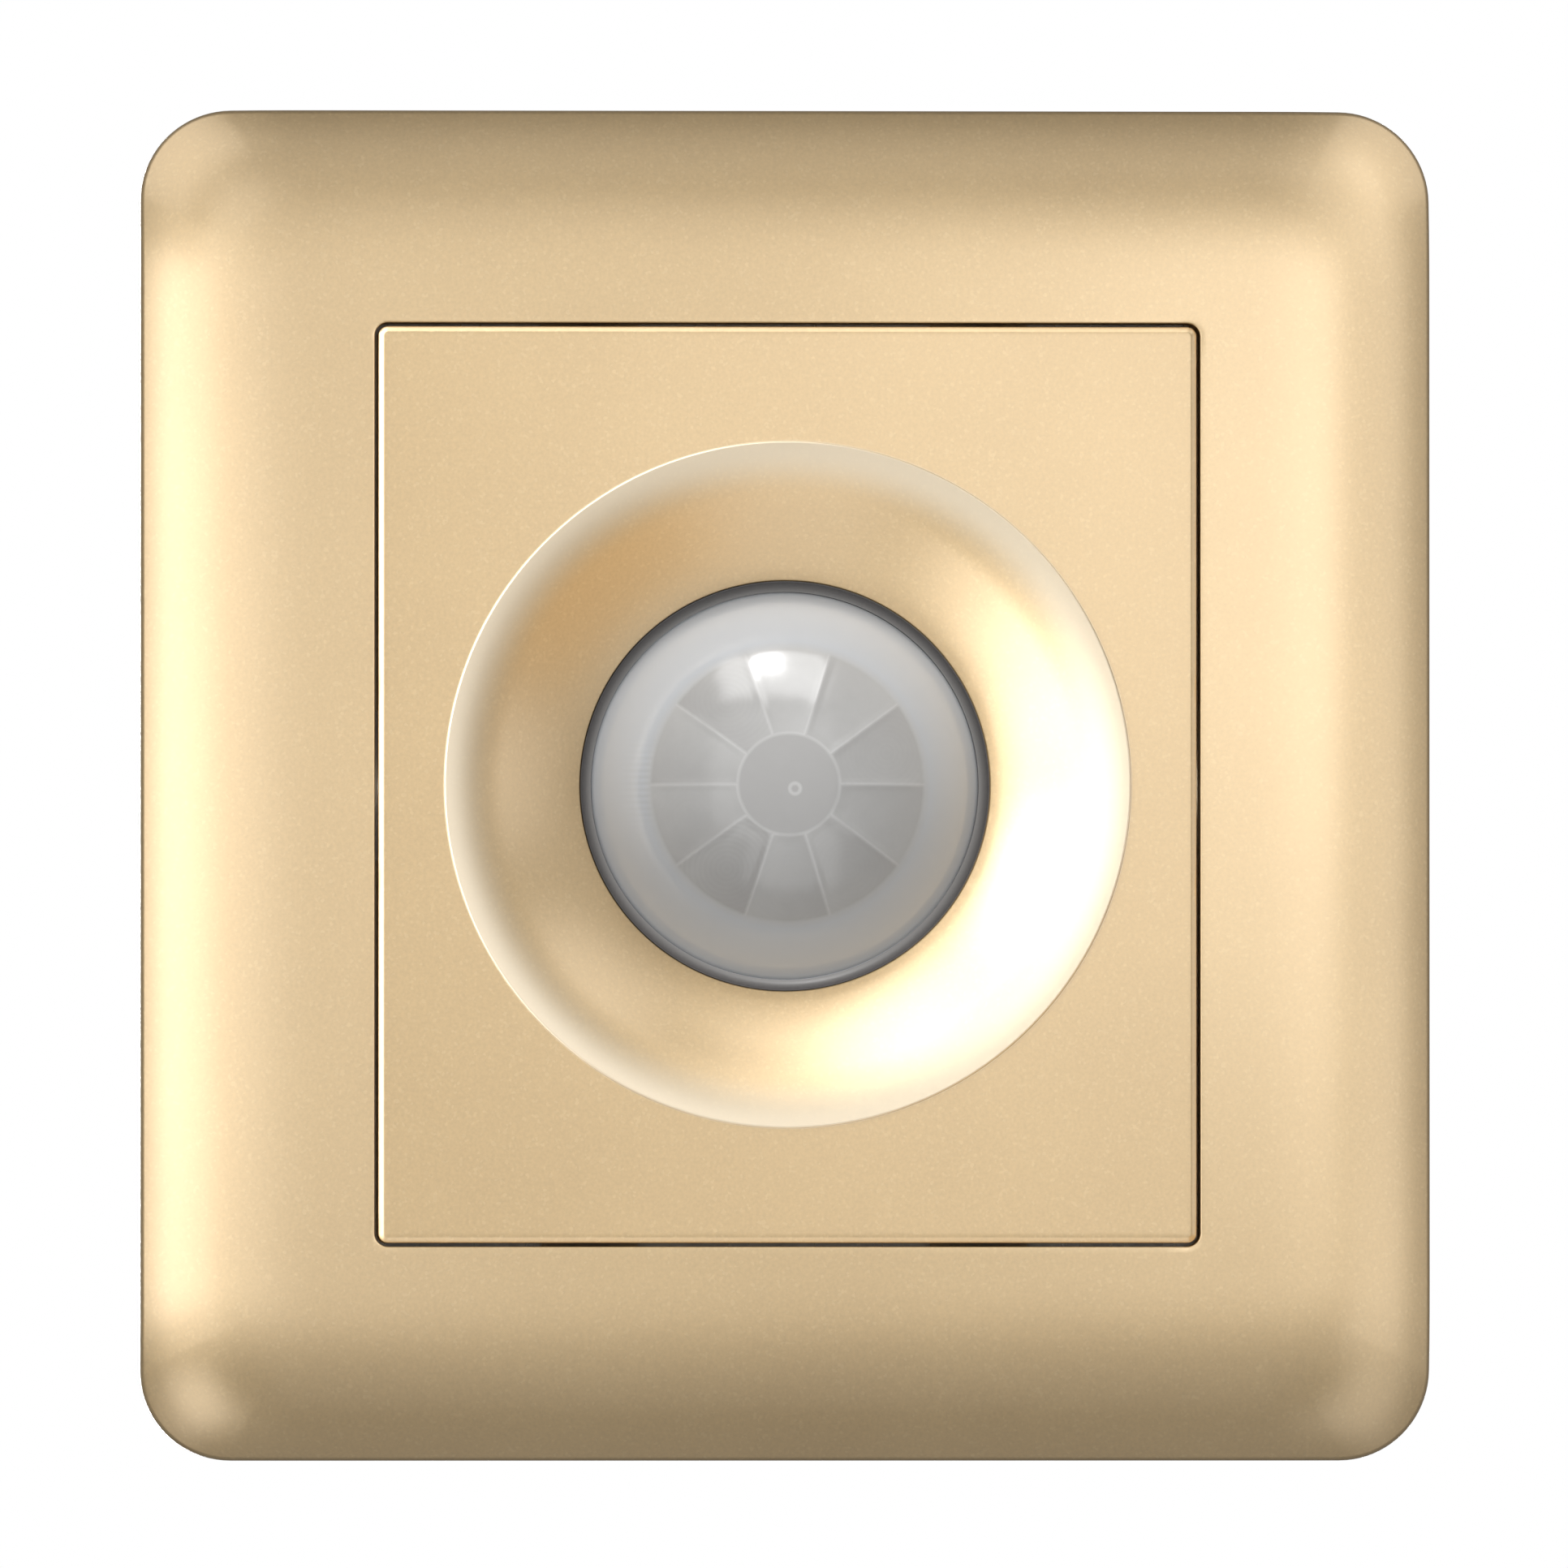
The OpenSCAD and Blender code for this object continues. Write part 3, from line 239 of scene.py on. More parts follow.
def surfaceGroup(name, fineDetail, fineRough, broadDetail, fineShare, stretch=None):
    # an effect group: a fine and a broad noise mix two tones, and the fine one gives roughness and height
    tree, groupIn, groupOut = newGroup(
        name,
        [("Vector", "NodeSocketVector"), ("Fine Scale", "NodeSocketFloat"), ("Broad Scale", "NodeSocketFloat"),
         ("Light Tone", "NodeSocketColor"), ("Dark Tone", "NodeSocketColor"),
         ("Rough Low", "NodeSocketFloat"), ("Rough High", "NodeSocketFloat")],
        [("Color", "NodeSocketColor"), ("Roughness", "NodeSocketFloat"), ("Height", "NodeSocketFloat")])
    given, toneRange, roughRange = groupIn.outputs, (0.3, 0.7), (0.25, 0.75)  # where most of a noise lies
    fineVector = given["Vector"]
    if stretch:
        drawn = addNode(tree, "ShaderNodeMapping")
        drawn.inputs["Scale"].default_value = stretch
        tree.links.new(fineVector, drawn.inputs["Vector"])
        fineVector = drawn.outputs[0]
    fine = noise(tree, fineVector, given["Fine Scale"], fineDetail, fineRough)
    broad = noise(tree, given["Vector"], given["Broad Scale"], broadDetail)
    share = math(tree, "ADD", remap(tree, fine, *toneRange, 0.0, fineShare),
                 remap(tree, broad, *toneRange, 0.0, 1.0 - fineShare), True)
    tree.links.new(blendColours(tree, share, given["Dark Tone"], given["Light Tone"]), groupOut.inputs["Color"])
    tree.links.new(remap(tree, fine, *roughRange, given["Rough Low"], given["Rough High"]),
                   groupOut.inputs["Roughness"])
    tree.links.new(fine, groupOut.inputs["Height"])
    return tree


# Fine grain of a moulded or sprayed surface, and drawn or rolled metal with streaks one way and a soft stain
grainGroup = surfaceGroup("fineGrain", 3.0, 0.6, 2.0, 0.7)
metalGroup = surfaceGroup("drawnMetal", 4.0, 0.65, 3.0, 0.4, stretch=(1.0, 1.0, 0.06))


def startFinish(name, group, tones, rough, scales, bumps, shader):
    # a material with one effect group feeding colour, roughness and bump
    material = bpy.data.materials.new(name)
    material.use_nodes = True
    tree = material.node_tree
    principled = tree.nodes["Principled BSDF"]
    setInputs(principled, **shader)
    place = addNode(tree, "ShaderNodeTexCoord")
    effect = addNode(tree, "ShaderNodeGroup", node_tree=group)
    tree.links.new(place.outputs["Object"], effect.inputs["Vector"])
    light, dark = (tone + (1.0,) for tone in tones)
    setInputs(effect, Fine_Scale=scales[0], Broad_Scale=scales[1], Light_Tone=light, Dark_Tone=dark,
              Rough_Low=rough[0], Rough_High=rough[1])
    bump = addNode(tree, "ShaderNodeBump")
    setInputs(bump, Strength=bumps[0], Distance=bumps[1] * mm)
    tree.links.new(effect.outputs["Color"], principled.inputs["Base Color"])
    tree.links.new(effect.outputs["Roughness"], principled.inputs["Roughness"])
    tree.links.new(effect.outputs["Height"], bump.inputs["Height"])
    tree.links.new(bump.outputs[0], principled.inputs["Normal"])
    return material, tree, principled, place, effect, bump


def grained(name, light, dark, rough, scale=2600.0, cloud=60.0, bump=0.15, bumpDepth=0.02, **shader):
    return startFinish(name, grainGroup, (light, dark), rough, (scale, cloud), (bump, bumpDepth), shader)


def metallic(name, light, dark, rough, scale=3000.0, stain=120.0, bump=0.1, bumpDepth=0.01, **shader):
    return startFinish(name, metalGroup, (light, dark), rough, (scale, stain), (bump, bumpDepth),
                       dict(Metallic=1.0, **shader))


# Champagne paint of the cover frame and the sensor face
# the lip keys set a paler band round the dish's lip, which is a painted highlight
paintLook = dict(light=(0.78, 0.545, 0.243), dark=(0.67, 0.457, 0.194), flake=(0.93, 0.72, 0.40),
                 rough=(0.36, 0.46), grain=4200.0, cloud=80.0, bump=0.16, bumpDepth=0.012, metal=0.85, coatIor=2.4,
                 coatRough=0.34, flakeScale=5200.0, flakeShare=0.86, flakeTone=0.25, lipHighlightTone=(0.92, 0.80, 0.60),
                 lipHighlightShare=0.75, lipStart=19.4, lipFull=22.3, lipEnd=22.9, lipFade=0.05)


def paintFinish(look):
    # satin metallic paint: a fine grain with scattered lighter flakes under a clear coat, and a paler band on the
    # dish's lip that is a painted highlight
    material, tree, principled, place, effect, _ = grained(
        "champagnePaint", look["light"], look["dark"], look["rough"], scale=look["grain"], cloud=look["cloud"],
        bump=look["bump"], bumpDepth=look["bumpDepth"], Metallic=look["metal"], Coat_Weight=1.0,
        Coat_IOR=look["coatIor"], Coat_Roughness=look["coatRough"])
    cells = addNode(tree, "ShaderNodeTexVoronoi", feature="F1")
    setInputs(cells, Scale=look["flakeScale"], Randomness=1.0)
    tree.links.new(place.outputs["Object"], cells.inputs["Vector"])
    tint = addNode(tree, "ShaderNodeSeparateColor")
    tree.links.new(cells.outputs["Color"], tint.inputs[0])
    flakes = remap(tree, tint.outputs[0], look["flakeShare"], 1.0, 0.0, look["flakeTone"])
    tone = blendColours(tree, flakes, effect.outputs["Color"], look["flake"])
    reach = fromAxis(tree, place)
    # painted highlight: the colour turns paler across the lip of the dish
    lipHighlightRise = remap(tree, reach, look["lipStart"], look["lipFull"], 0.0, look["lipHighlightShare"], "SMOOTHSTEP")
    lipHighlightStop = remap(tree, reach, look["lipEnd"], look["lipEnd"] + look["lipFade"], 1.0, 0.0)
    lip = math(tree, "MULTIPLY", lipHighlightRise, lipHighlightStop)
    tree.links.new(blendColours(tree, lip, tone, look["lipHighlightTone"]), principled.inputs["Base Color"])
    return material


champagnePaint = paintFinish(paintLook)
print("helpers and paint ready")


# Cover frame: rounded shoulders, a window with its collar, and four guide tabs
coverSize = dict(halfX=42.998, halfZ=44.998, cornerR=6.0, flatX=31.0, flatZ=33.0, frontY=-9.0, fall=3.276, ease=3.2,
                 square=2.5, wall=2.0, windowX=27.5, windowZ=30.75, windowR=0.9, windowRim=0.44, collarWall=1.2,
                 collarDepth=2.0, tabX=24.0, tabZ=37.5, tabWidth=8.0, tabThick=1.5, tabEnd=-0.3, tabRoot=-8.2,
                 tabSoft=0.2, edgeSoft=0.35, windowSoft=0.1, rearSoft=0.2, flatRow=0.35, arcs=20, cuts=40,
                 rows=(0.9, 0.8, 0.7, 0.6, 0.5, 0.4, 0.3, 0.2, 0.1, 0.03))


def onShoulder(ratio, inset, size):
    # draws a point in towards the flat front and sets it on the rounded shoulder, which starts gently
    width, square = size["halfX"] - size["flatX"], size["square"]

    def place(co):
        nearX = max(-size["flatX"], min(size["flatX"], co.x))
        nearZ = max(-size["flatZ"], min(size["flatZ"], co.z))
        dx, dz = (co.x - nearX) * ratio, (co.z - nearZ) * ratio
        reach = (abs(dx) ** square + abs(dz) ** square) ** (1 / square)
        return (nearX + dx, size["frontY"] + inset + size["fall"] * (reach / width) ** size["ease"], nearZ + dz)
    return place


def ontoFlat(inset, y, size):
    # the last row lies on the flat front, a little inside the shoulder
    scaleX, scaleZ = 1 - inset / size["flatX"], 1 - inset / size["flatZ"]
    return lambda co: (co.x * scaleX, y, co.z * scaleZ)


def coverSkin(bm, rear, inset, size):
    # one skin of the cover, from its rear edge up the wall and over the shoulder
    crease = sweep(bm, rear, onShoulder(1.0, inset, size))
    last, row = 1.0, crease
    for step in size["rows"]:
        row = sweep(bm, row, onShoulder(step / last, inset, size))
        last = step
    return crease, row


def buildCover(size):
    bm = bmesh.new()
    wall = size["wall"]
    rear, window = roundedOutlines(bm, [
        (size["halfX"], size["halfZ"], size["cornerR"], 0.0),
        (size["windowX"], size["windowZ"], size["windowR"], size["frontY"])], size["arcs"], size["cuts"])
    crease, frontEnd = coverSkin(bm, rear, 0.0, size)
    rearInner = sweep(bm, rear, spread(-wall, size["halfX"], size["halfZ"], size["cornerR"], 0.0))
    backEnd = coverSkin(bm, rearInner, wall, size)[1]
    frontEnd = sweep(bm, frontEnd, ontoFlat(size["flatRow"], size["frontY"], size))
    backEnd = sweep(bm, backEnd, ontoFlat(size["flatRow"], size["frontY"] + wall, size))
    rim = sweep(bm, window, spread(size["windowRim"], size["windowX"], size["windowZ"], size["windowR"],
                                   size["frontY"]))
    bridge(bm, frontEnd, rim)
    collarY = size["frontY"] + wall + size["collarDepth"]
    collarEnd = sweep(bm, window, atDepth(collarY))
    collarOut = sweep(bm, collarEnd, spread(size["collarWall"], size["windowX"], size["windowZ"], size["windowR"],
                                            collarY))
    collarRoot = sweep(bm, collarOut, atDepth(size["frontY"] + wall))
    bridge(bm, collarRoot, backEnd)
    bmesh.ops.remove_doubles(bm, verts=bm.verts, dist=weld)
    softenEdges(bm, crease, size["edgeSoft"], 5)
    softenEdges(bm, window, size["windowSoft"], 3)
    softenEdges(bm, rear, size["rearSoft"], 2)
    for sx in (-1, 1):
        for sz in (-1, 1):
            tab = bmesh.ops.create_cube(bm, size=1.0)["verts"]
            bmesh.ops.scale(bm, vec=(size["tabWidth"], size["tabEnd"] - size["tabRoot"], size["tabThick"]), verts=tab)
            bmesh.ops.translate(bm, vec=(sx * size["tabX"], (size["tabEnd"] + size["tabRoot"]) / 2,
                                         sz * size["tabZ"]), verts=tab)
            softenEdges(bm, edgesOf(tab), size["tabSoft"], 2)
    return bm


coverFrame = makePiece("coverFrame", buildCover(coverSize), champagnePaint, "cover", "frame_cover")


# Sensor face: a plate with a round dish, the lens seat behind it, a skirt and its posts
faceSize = dict(halfX=27.25, halfZ=30.5, cornerR=0.65, frontY=-9.0, thick=2.0, skirtWall=1.6, skirtEnd=-3.5,
                chamfer=0.36, chamferDeep=0.2, chamferSoft=0.05, rimRow=0.7, dishR=22.9, lipStep=0.15, lipAngle=10.0,
                bendR=18.6, dishSlope=33.0, rearSlope=38.0, holeR=13.7, holeY=-4.35, holeSoft=0.12, wall=1.6,
                cupR=15.6, cupEnd=0.25, segments=192, arcs=7, dishRows=6, flareRows=18, stepRows=5, postX=20.05,
                postZ=23.3, postR=2.2, postEnd=15.1, pillarX=13.95, pillarZ=23.1, pillarR=2.0, pillarEnd=6.0,
                postSoft=0.25, postRoot=1.0, postSides=32, pocketZ=5.0, pocketDeep=2.1)


def buildFace(size):
    bm = bmesh.new()
    slope, flare, rearSlope = radians(size["dishSlope"]), radians(size["lipAngle"]), radians(size["rearSlope"])
    edgeY = size["holeY"]
    bendY = edgeY - (size["bendR"] - size["holeR"]) * tan(slope)
    lipR = size["dishR"] - size["lipStep"]
    rollR = (lipR - size["bendR"]) / (sin(slope) - sin(flare))
    lipY = bendY - rollR * (cos(flare) - cos(slope))
    perSide = (size["segments"] - 4 * (size["arcs"] + 1)) // 4
    outline = roundedOutlines(bm, [(size["halfX"], size["halfZ"], size["cornerR"],
                                    size["frontY"] + size["chamferDeep"])], size["arcs"], perSide)[0]
    hole = ringLoop(bm, size["holeR"], edgeY, size["segments"])
    row = hole
    for i in range(1, size["dishRows"] + 1):  # the sloping dish
        share = i / size["dishRows"]
        row = sweep(bm, row, toRing(size["holeR"] + (size["bendR"] - size["holeR"]) * share,
                                    edgeY + (bendY - edgeY) * share))
    for i in range(1, size["flareRows"] + 1):  # the flare up to the lip
        a = slope + (flare - slope) * i / size["flareRows"]
        row = sweep(bm, row, toRing(size["bendR"] + rollR * (sin(slope) - sin(a)),
                                    bendY - rollR * (cos(a) - cos(slope))))
    for i in range(1, size["stepRows"] + 1):  # the small rounded step down to the plate
        a = pi / 2 * i / size["stepRows"]
        row = sweep(bm, row, toRing(lipR + size["lipStep"] * sin(a),
                                    size["frontY"] + (lipY - size["frontY"]) * cos(a)))
    brow = sweep(bm, outline, spread(-size["chamfer"], size["halfX"], size["halfZ"], size["cornerR"], size["frontY"]))
    rim = sweep(bm, brow, spread(-(size["rimRow"] - size["chamfer"]), size["halfX"] - size["chamfer"],
                                 size["halfZ"] - size["chamfer"], size["rimRow"], size["frontY"]))
    bridge(bm, row, rim)
    skirt = sweep(bm, outline, atDepth(size["skirtEnd"]))
    skirtInner = sweep(bm, skirt, lambda co: (co.x * (1 - size["skirtWall"] / size["halfX"]), size["skirtEnd"],
                                              co.z * (1 - size["skirtWall"] / size["halfZ"])))
    backY = size["frontY"] + size["thick"]
    skirtRoot = sweep(bm, skirtInner, atDepth(backY))
    seatY = edgeY + size["wall"]
    row = sweep(bm, hole, atDepth(seatY))
    row = sweep(bm, row, toRing(size["cupR"], seatY))
    row = sweep(bm, row, toRing(size["cupR"], size["cupEnd"]))
    cupOuter = size["cupR"] + size["wall"]
    row = sweep(bm, row, toRing(cupOuter, size["cupEnd"]))
    behind = size["wall"] / sin(rearSlope)
    row = sweep(bm, row, toRing(cupOuter, edgeY - (cupOuter - size["holeR"] - behind) * tan(rearSlope)))
    row = sweep(bm, row, toRing(size["holeR"] + behind + (edgeY - backY) / tan(rearSlope), backY))
    bridge(bm, row, skirtRoot)
    bmesh.ops.remove_doubles(bm, verts=bm.verts, dist=weld)
    softenEdges(bm, outline + brow, size["chamferSoft"], 2)
    softenEdges(bm, hole, size["holeSoft"], 4)
    # pockets in the skirt for the heads of the box screws: a stepped wall takes the straight one's place
    reach, innerX = size["pocketZ"] + size["skirtWall"], size["halfX"] - size["skirtWall"]
    for spot, way in (((0, 0, -reach), (0, 0, 1)), ((0, 0, reach), (0, 0, 1)), ((0, backY, 0), (0, 1, 0))):
        bmesh.ops.bisect_plane(bm, geom=bm.verts[:] + bm.edges[:] + bm.faces[:], dist=weld / 10,
                               plane_co=spot, plane_no=way)
    for side in (-1, 1):
        middles = {f: f.calc_center_median() for f in bm.faces}
        walls = [f for f, m in middles.items()
                 if side * m.x > innerX - near and abs(m.z) < reach and m.y > backY + near]
        bmesh.ops.delete(bm, geom=walls, context="FACES")
        ends = list({v for e in bm.edges if e.is_boundary for v in e.verts if side * v.co.x > 0})
        roof = [v for v in ends if abs(v.co.y - backY) < near]
        wallX, wallY = innerX + size["skirtWall"] / 2, (backY + size["skirtEnd"]) / 2  # the middle of the old wall
        outer = sorted((v for v in roof if side * v.co.x > wallX), key=lambda v: v.co.z)
        inner = sorted((v for v in roof if side * v.co.x < wallX), key=lambda v: -v.co.z)
        bm.faces.new(outer + inner)
        for z in (-reach, reach):
            cap = [v for v in ends if abs(v.co.z - z) < near]
            cap.sort(key=lambda v: atan2(v.co.y - wallY, side * v.co.x - wallX))
            bm.faces.new(cap)
        floorX = size["halfX"] - size["pocketDeep"]
        plan = [(size["halfX"], -reach), (floorX - size["skirtWall"], -reach), (floorX - size["skirtWall"], reach),
                (size["halfX"], reach), (size["halfX"], size["pocketZ"]), (floorX, size["pocketZ"]),
                (floorX, -size["pocketZ"]), (size["halfX"], -size["pocketZ"])]
        top, low = ([bm.verts.new((side * x, y, z)) for x, z in plan] for y in (backY, size["skirtEnd"]))
        bm.faces.new(top)
        bm.faces.new(low)
        for i in range(len(plan)):
            bm.faces.new((top[i - 1], top[i], low[i], low[i - 1]))
    for x, z, r, end in ((size["postX"], size["postZ"], size["postR"], size["postEnd"]),
                         (size["pillarX"], size["pillarZ"], size["pillarR"], size["pillarEnd"])):
        for sx in (-1, 1):
            for sz in (-1, 1):
                post = bmesh.ops.create_cone(bm, cap_ends=True, segments=size["postSides"], radius1=r, radius2=r,
                                             depth=end - backY + size["postRoot"])["verts"]
                bmesh.ops.rotate(bm, cent=(0, 0, 0), matrix=Matrix.Rotation(pi / 2, 3, "X"), verts=post)
                bmesh.ops.translate(bm, vec=(sx * x, (end + backY - size["postRoot"]) / 2, sz * z), verts=post)
                rim = [e for e in edgesOf(post) if all(abs(v.co.y - end) < near for v in e.verts)]
                softenEdges(bm, rim, size["postSoft"], 2)
    return bm


sensorFace = makePiece("sensorFace", buildFace(faceSize), champagnePaint, "switch", "sensor_face",
                       sharpAngle=17.0)


# Lens: a milky dome with a centre disc and ten segments
lensSize = dict(footR=12.9, rise=7.5, footY=-3.75, wall=0.8, flangeR=15.5, flangeY=-2.25, flangeEnd=-1.25,
                flangeSoft=0.15, segmentsInR=3.4, segmentsOutR=9.1, segments=10, ridge=0.04, ridgeWidth=0.5,
                centreDish=0.03, innerRise=9.0, innerStart=0.15, outerRise=6.0, rings=60, innerRings=20, steps=360)


def buildLens(size):
    bm = bmesh.new()
    domeR = (size["footR"] ** 2 + size["rise"] ** 2) / (2 * size["rise"])
    centreY = size["footY"] - size["rise"] + domeR
    innerR = domeR - size["wall"]
    neckR = sqrt(innerR ** 2 - (centreY - size["footY"]) ** 2)
    outerRow = [size["footR"] * i / size["rings"] for i in range(size["rings"] + 1)]
    innerRow = [neckR * i / size["innerRings"] for i in range(size["innerRings"], -1, -1)]
    path = [(r, centreY - sqrt(domeR ** 2 - r ** 2)) for r in outerRow]
    path += [(size["footR"], size["flangeY"]), (size["flangeR"] - size["flangeSoft"], size["flangeY"]),
             (size["flangeR"], size["flangeY"] + size["flangeSoft"]), (size["flangeR"], size["flangeEnd"]),
             (neckR, size["flangeEnd"])]
    path += [(r, centreY - sqrt(innerR ** 2 - r ** 2)) for r in innerRow]
    verts = [bm.verts.new((r, y, 0.0)) for r, y in path]
    edges = [bm.edges.new(pair) for pair in zip(verts, verts[1:])]
    bmesh.ops.spin(bm, geom=verts + edges, cent=(0, 0, 0), axis=(0, 1, 0), angle=2 * pi, steps=size["steps"],
                   use_merge=True, use_duplicate=False)
    bmesh.ops.remove_doubles(bm, verts=bm.verts, dist=weld)
    # the outer face takes the relief: a shallow centre disc, dished segments and ridges between them
    for v in bm.verts:
        r = hypot(v.co.x, v.co.z)
        out = Vector((v.co.x, v.co.y - centreY, v.co.z))
        if abs(out.length - domeR) > near or r > size["segmentsOutR"] + near:
            continue
        if r < size["segmentsInR"]:
            drop = size["centreDish"] * (1 - (r / size["segmentsInR"]) ** 2)
        else:
            turn = (atan2(v.co.z, v.co.x) / (2 * pi) * size["segments"]) % 1.0
            along = (r - size["segmentsInR"]) / (size["segmentsOutR"] - size["segmentsInR"])
            across = min(turn, 1 - turn) * 2 * pi * r / size["segments"]
            ends = min(1.0, (1 - along) * size["outerRise"], along * size["innerRise"] + size["innerStart"])
            edge = min(1.0, across / size["ridgeWidth"]) * ends
            drop = size["ridge"] * edge * edge * (3 - 2 * edge)
        v.co -= out.normalized() * drop
    return bm


milkyLook = dict(light=(0.50, 0.497, 0.487), dark=(0.465, 0.462, 0.452), shaded=(0.345, 0.337, 0.329),
                 outer=(0.49, 0.515, 0.545), edge=(0.66, 0.658, 0.65), rough=(0.15, 0.21), grain=900.0, cloud=70.0,
                 bump=0.25, segments=10, centreR=3.4, centreSoft=0.05, outerR=9.1, outerSoft=0.12, outerFull=0.5,
                 spoke=(0.03, 0.17), ring=(0.04, 0.17), gateX=0.0004, gateZ=-0.0003, gateR=0.35, gateLine=(0.05, 0.18),
                 segmentShadeShare=0.55, turnShadeShare=0.45, fanShadeShare=0.8, centreShadeShare=0.75, outerCoolShare=0.85, lineHighlightShare=0.30,
                 gateShare=0.45, reliefShadeShare=0.10, grooveR=6.9, groovePitch=0.34, grooveFew=3.0, rippleSide=0.95,
                 rippleFrom=(9.0, 9.3), rippleTo=(9.6, 11.2), ripplePitch=0.42, grainHigh=0.2, reliefHigh=0.16,
                 lineHigh=0.5)


def milkyFinish(look):
    # milky plastic: ten segments of fine grooves round a plain centre; each segment is painted a different depth of
    # shade and the centre disc is painted darker, as painted shade
    material, tree, principled, place, effect, bump = grained(
        "milkyLens", look["light"], look["dark"], look["rough"], scale=look["grain"], cloud=look["cloud"],
        bump=look["bump"], Subsurface_Weight=0.25, Subsurface_Scale=2 * mm, IOR=1.5, Specular_IOR_Level=0.6)
    principled.inputs["Subsurface Radius"].default_value = (1.0, 1.0, 0.95)

    def times(a, b):
        return math(tree, "MULTIPLY", a, b)

    def plus(a, b):
        return math(tree, "ADD", a, b)

    def lineAt(radius, x0, z0, line):
        # a fine ring of the given radius
        off = math(tree, "ABSOLUTE", math(tree, "SUBTRACT", fromAxis(tree, place, x0, z0), radius))
        return remap(tree, off, *line, 1.0, 0.0)

    x, _, z = objectAxes(tree, place)
    reach = fromAxis(tree, place)
    perTurn = 2 * pi / look["segments"]
    turn = plus(math(tree, "DIVIDE", math(tree, "ARCTAN2", z, x), perTurn), float(look["segments"]))
    part, index = math(tree, "FRACT", turn), math(tree, "FLOOR", turn)
    toEdge = times(math(tree, "MINIMUM", part, math(tree, "SUBTRACT", 1.0, part)), times(reach, perTurn))
    centreStep = (look["centreR"] - look["centreSoft"], look["centreR"] + look["centreSoft"])
    outerIn, outerOut = look["outerR"] - look["outerSoft"], look["outerR"] + look["outerSoft"]
    inFan = times(remap(tree, reach, *centreStep, 0.0, 1.0), remap(tree, reach, outerIn, outerOut, 1.0, 0.0))
    spokes = times(remap(tree, toEdge, *look["spoke"], 1.0, 0.0), inFan)
    lines = math(tree, "MAXIMUM", spokes, lineAt(look["centreR"], 0.0, 0.0, look["ring"]))
    own = addNode(tree, "ShaderNodeTexWhiteNoise", noise_dimensions="1D")
    tree.links.new(index, own.inputs["W"])
    # painted shade: each segment darkens by a random amount and more towards one side, and the centre disc darkens
    tone = times(plus(times(own.outputs[0], look["segmentShadeShare"]), times(part, look["turnShadeShare"])), inFan)
    tone = plus(times(tone, look["fanShadeShare"]), remap(tree, reach, *centreStep, look["centreShadeShare"], 0.0))
    shade = blendColours(tree, tone, effect.outputs["Color"], look["shaded"])
    # the smooth outer zone takes a lighter tone, cooled to cancel the warm light thrown on it from the gold dish,
    # which is painted light
    outside = remap(tree, reach, outerIn, look["outerR"] + look["outerFull"], 0.0, look["outerCoolShare"])
    shade = blendColours(tree, outside, shade, look["outer"])
    # painted highlight: the spokes and the centre ring are lighter where the steps between facets catch light; bump
    # also raises them a little
    shade = blendColours(tree, times(lines, look["lineHighlightShare"]), shade, look["edge"])
    gateRing = lineAt(look["gateR"], look["gateX"], look["gateZ"], look["gateLine"])  # the mark of the moulding gate
    shade = blendColours(tree, times(gateRing, look["gateShare"]), shade, look["edge"])
    # the grooves of a segment run round the segment's own middle
    middleTurn = times(plus(index, 0.5), perTurn)
    grooveX = math(tree, "SUBTRACT", times(x, 1 / mm), times(math(tree, "COSINE", middleTurn), look["grooveR"]))
    grooveZ = math(tree, "SUBTRACT", times(z, 1 / mm), times(math(tree, "SINE", middleTurn), look["grooveR"]))
    away = math(tree, "SQRT", plus(times(grooveX, grooveX), times(grooveZ, grooveZ)))
    wave = math(tree, "SINE", times(away, 2 * pi / look["groovePitch"]))
    groove = times(wave, times(inFan, math(tree, "POWER", own.outputs[0], look["grooveFew"])))
    # a faint ripple just outside the fan on one side
    leftward = math(tree, "DIVIDE", times(x, -1 / mm), reach)
    band = times(remap(tree, reach, *look["rippleFrom"], 0.0, 1.0), remap(tree, reach, *look["rippleTo"], 1.0, 0.0))
    beside = times(remap(tree, leftward, look["rippleSide"], 1.0, 0.0, 1.0), band)
    ripple = times(math(tree, "SINE", times(z, 2 * pi / (look["ripplePitch"] * mm))), beside)
    relief = plus(groove, ripple)
    # painted shade: the grooves and the ripple darken the colour in step with their waves
    shade = blendColours(tree, times(plus(relief, 1.0), look["reliefShadeShare"]), shade, look["shaded"])
    tree.links.new(shade, principled.inputs["Base Color"])
    height = plus(plus(times(effect.outputs["Height"], look["grainHigh"]), times(relief, look["reliefHigh"])),
                  times(math(tree, "MAXIMUM", lines, gateRing), look["lineHigh"]))
    tree.links.new(height, bump.inputs["Height"])
    return material


domeLens = makePiece("domeLens", buildLens(lensSize), milkyFinish(milkyLook), "switch", "fresnel_lens",
                     sharpAngle=40.0)


# Dark ring between the lens and the dish
ringSize = dict(innerR=12.95, outerR=13.65, flangeR=15.5, footY=-3.75, frontY=-4.37, seatY=-2.75, backY=-2.25,
                rows=(0.25, 0.5, 0.75, 0.92), hollow=1.6, edgeDrop=0.06, segments=192, light=(0.060, 0.055, 0.055),
                dark=(0.040, 0.036, 0.036), lit=(0.205, 0.198, 0.190), litShare=0.9)


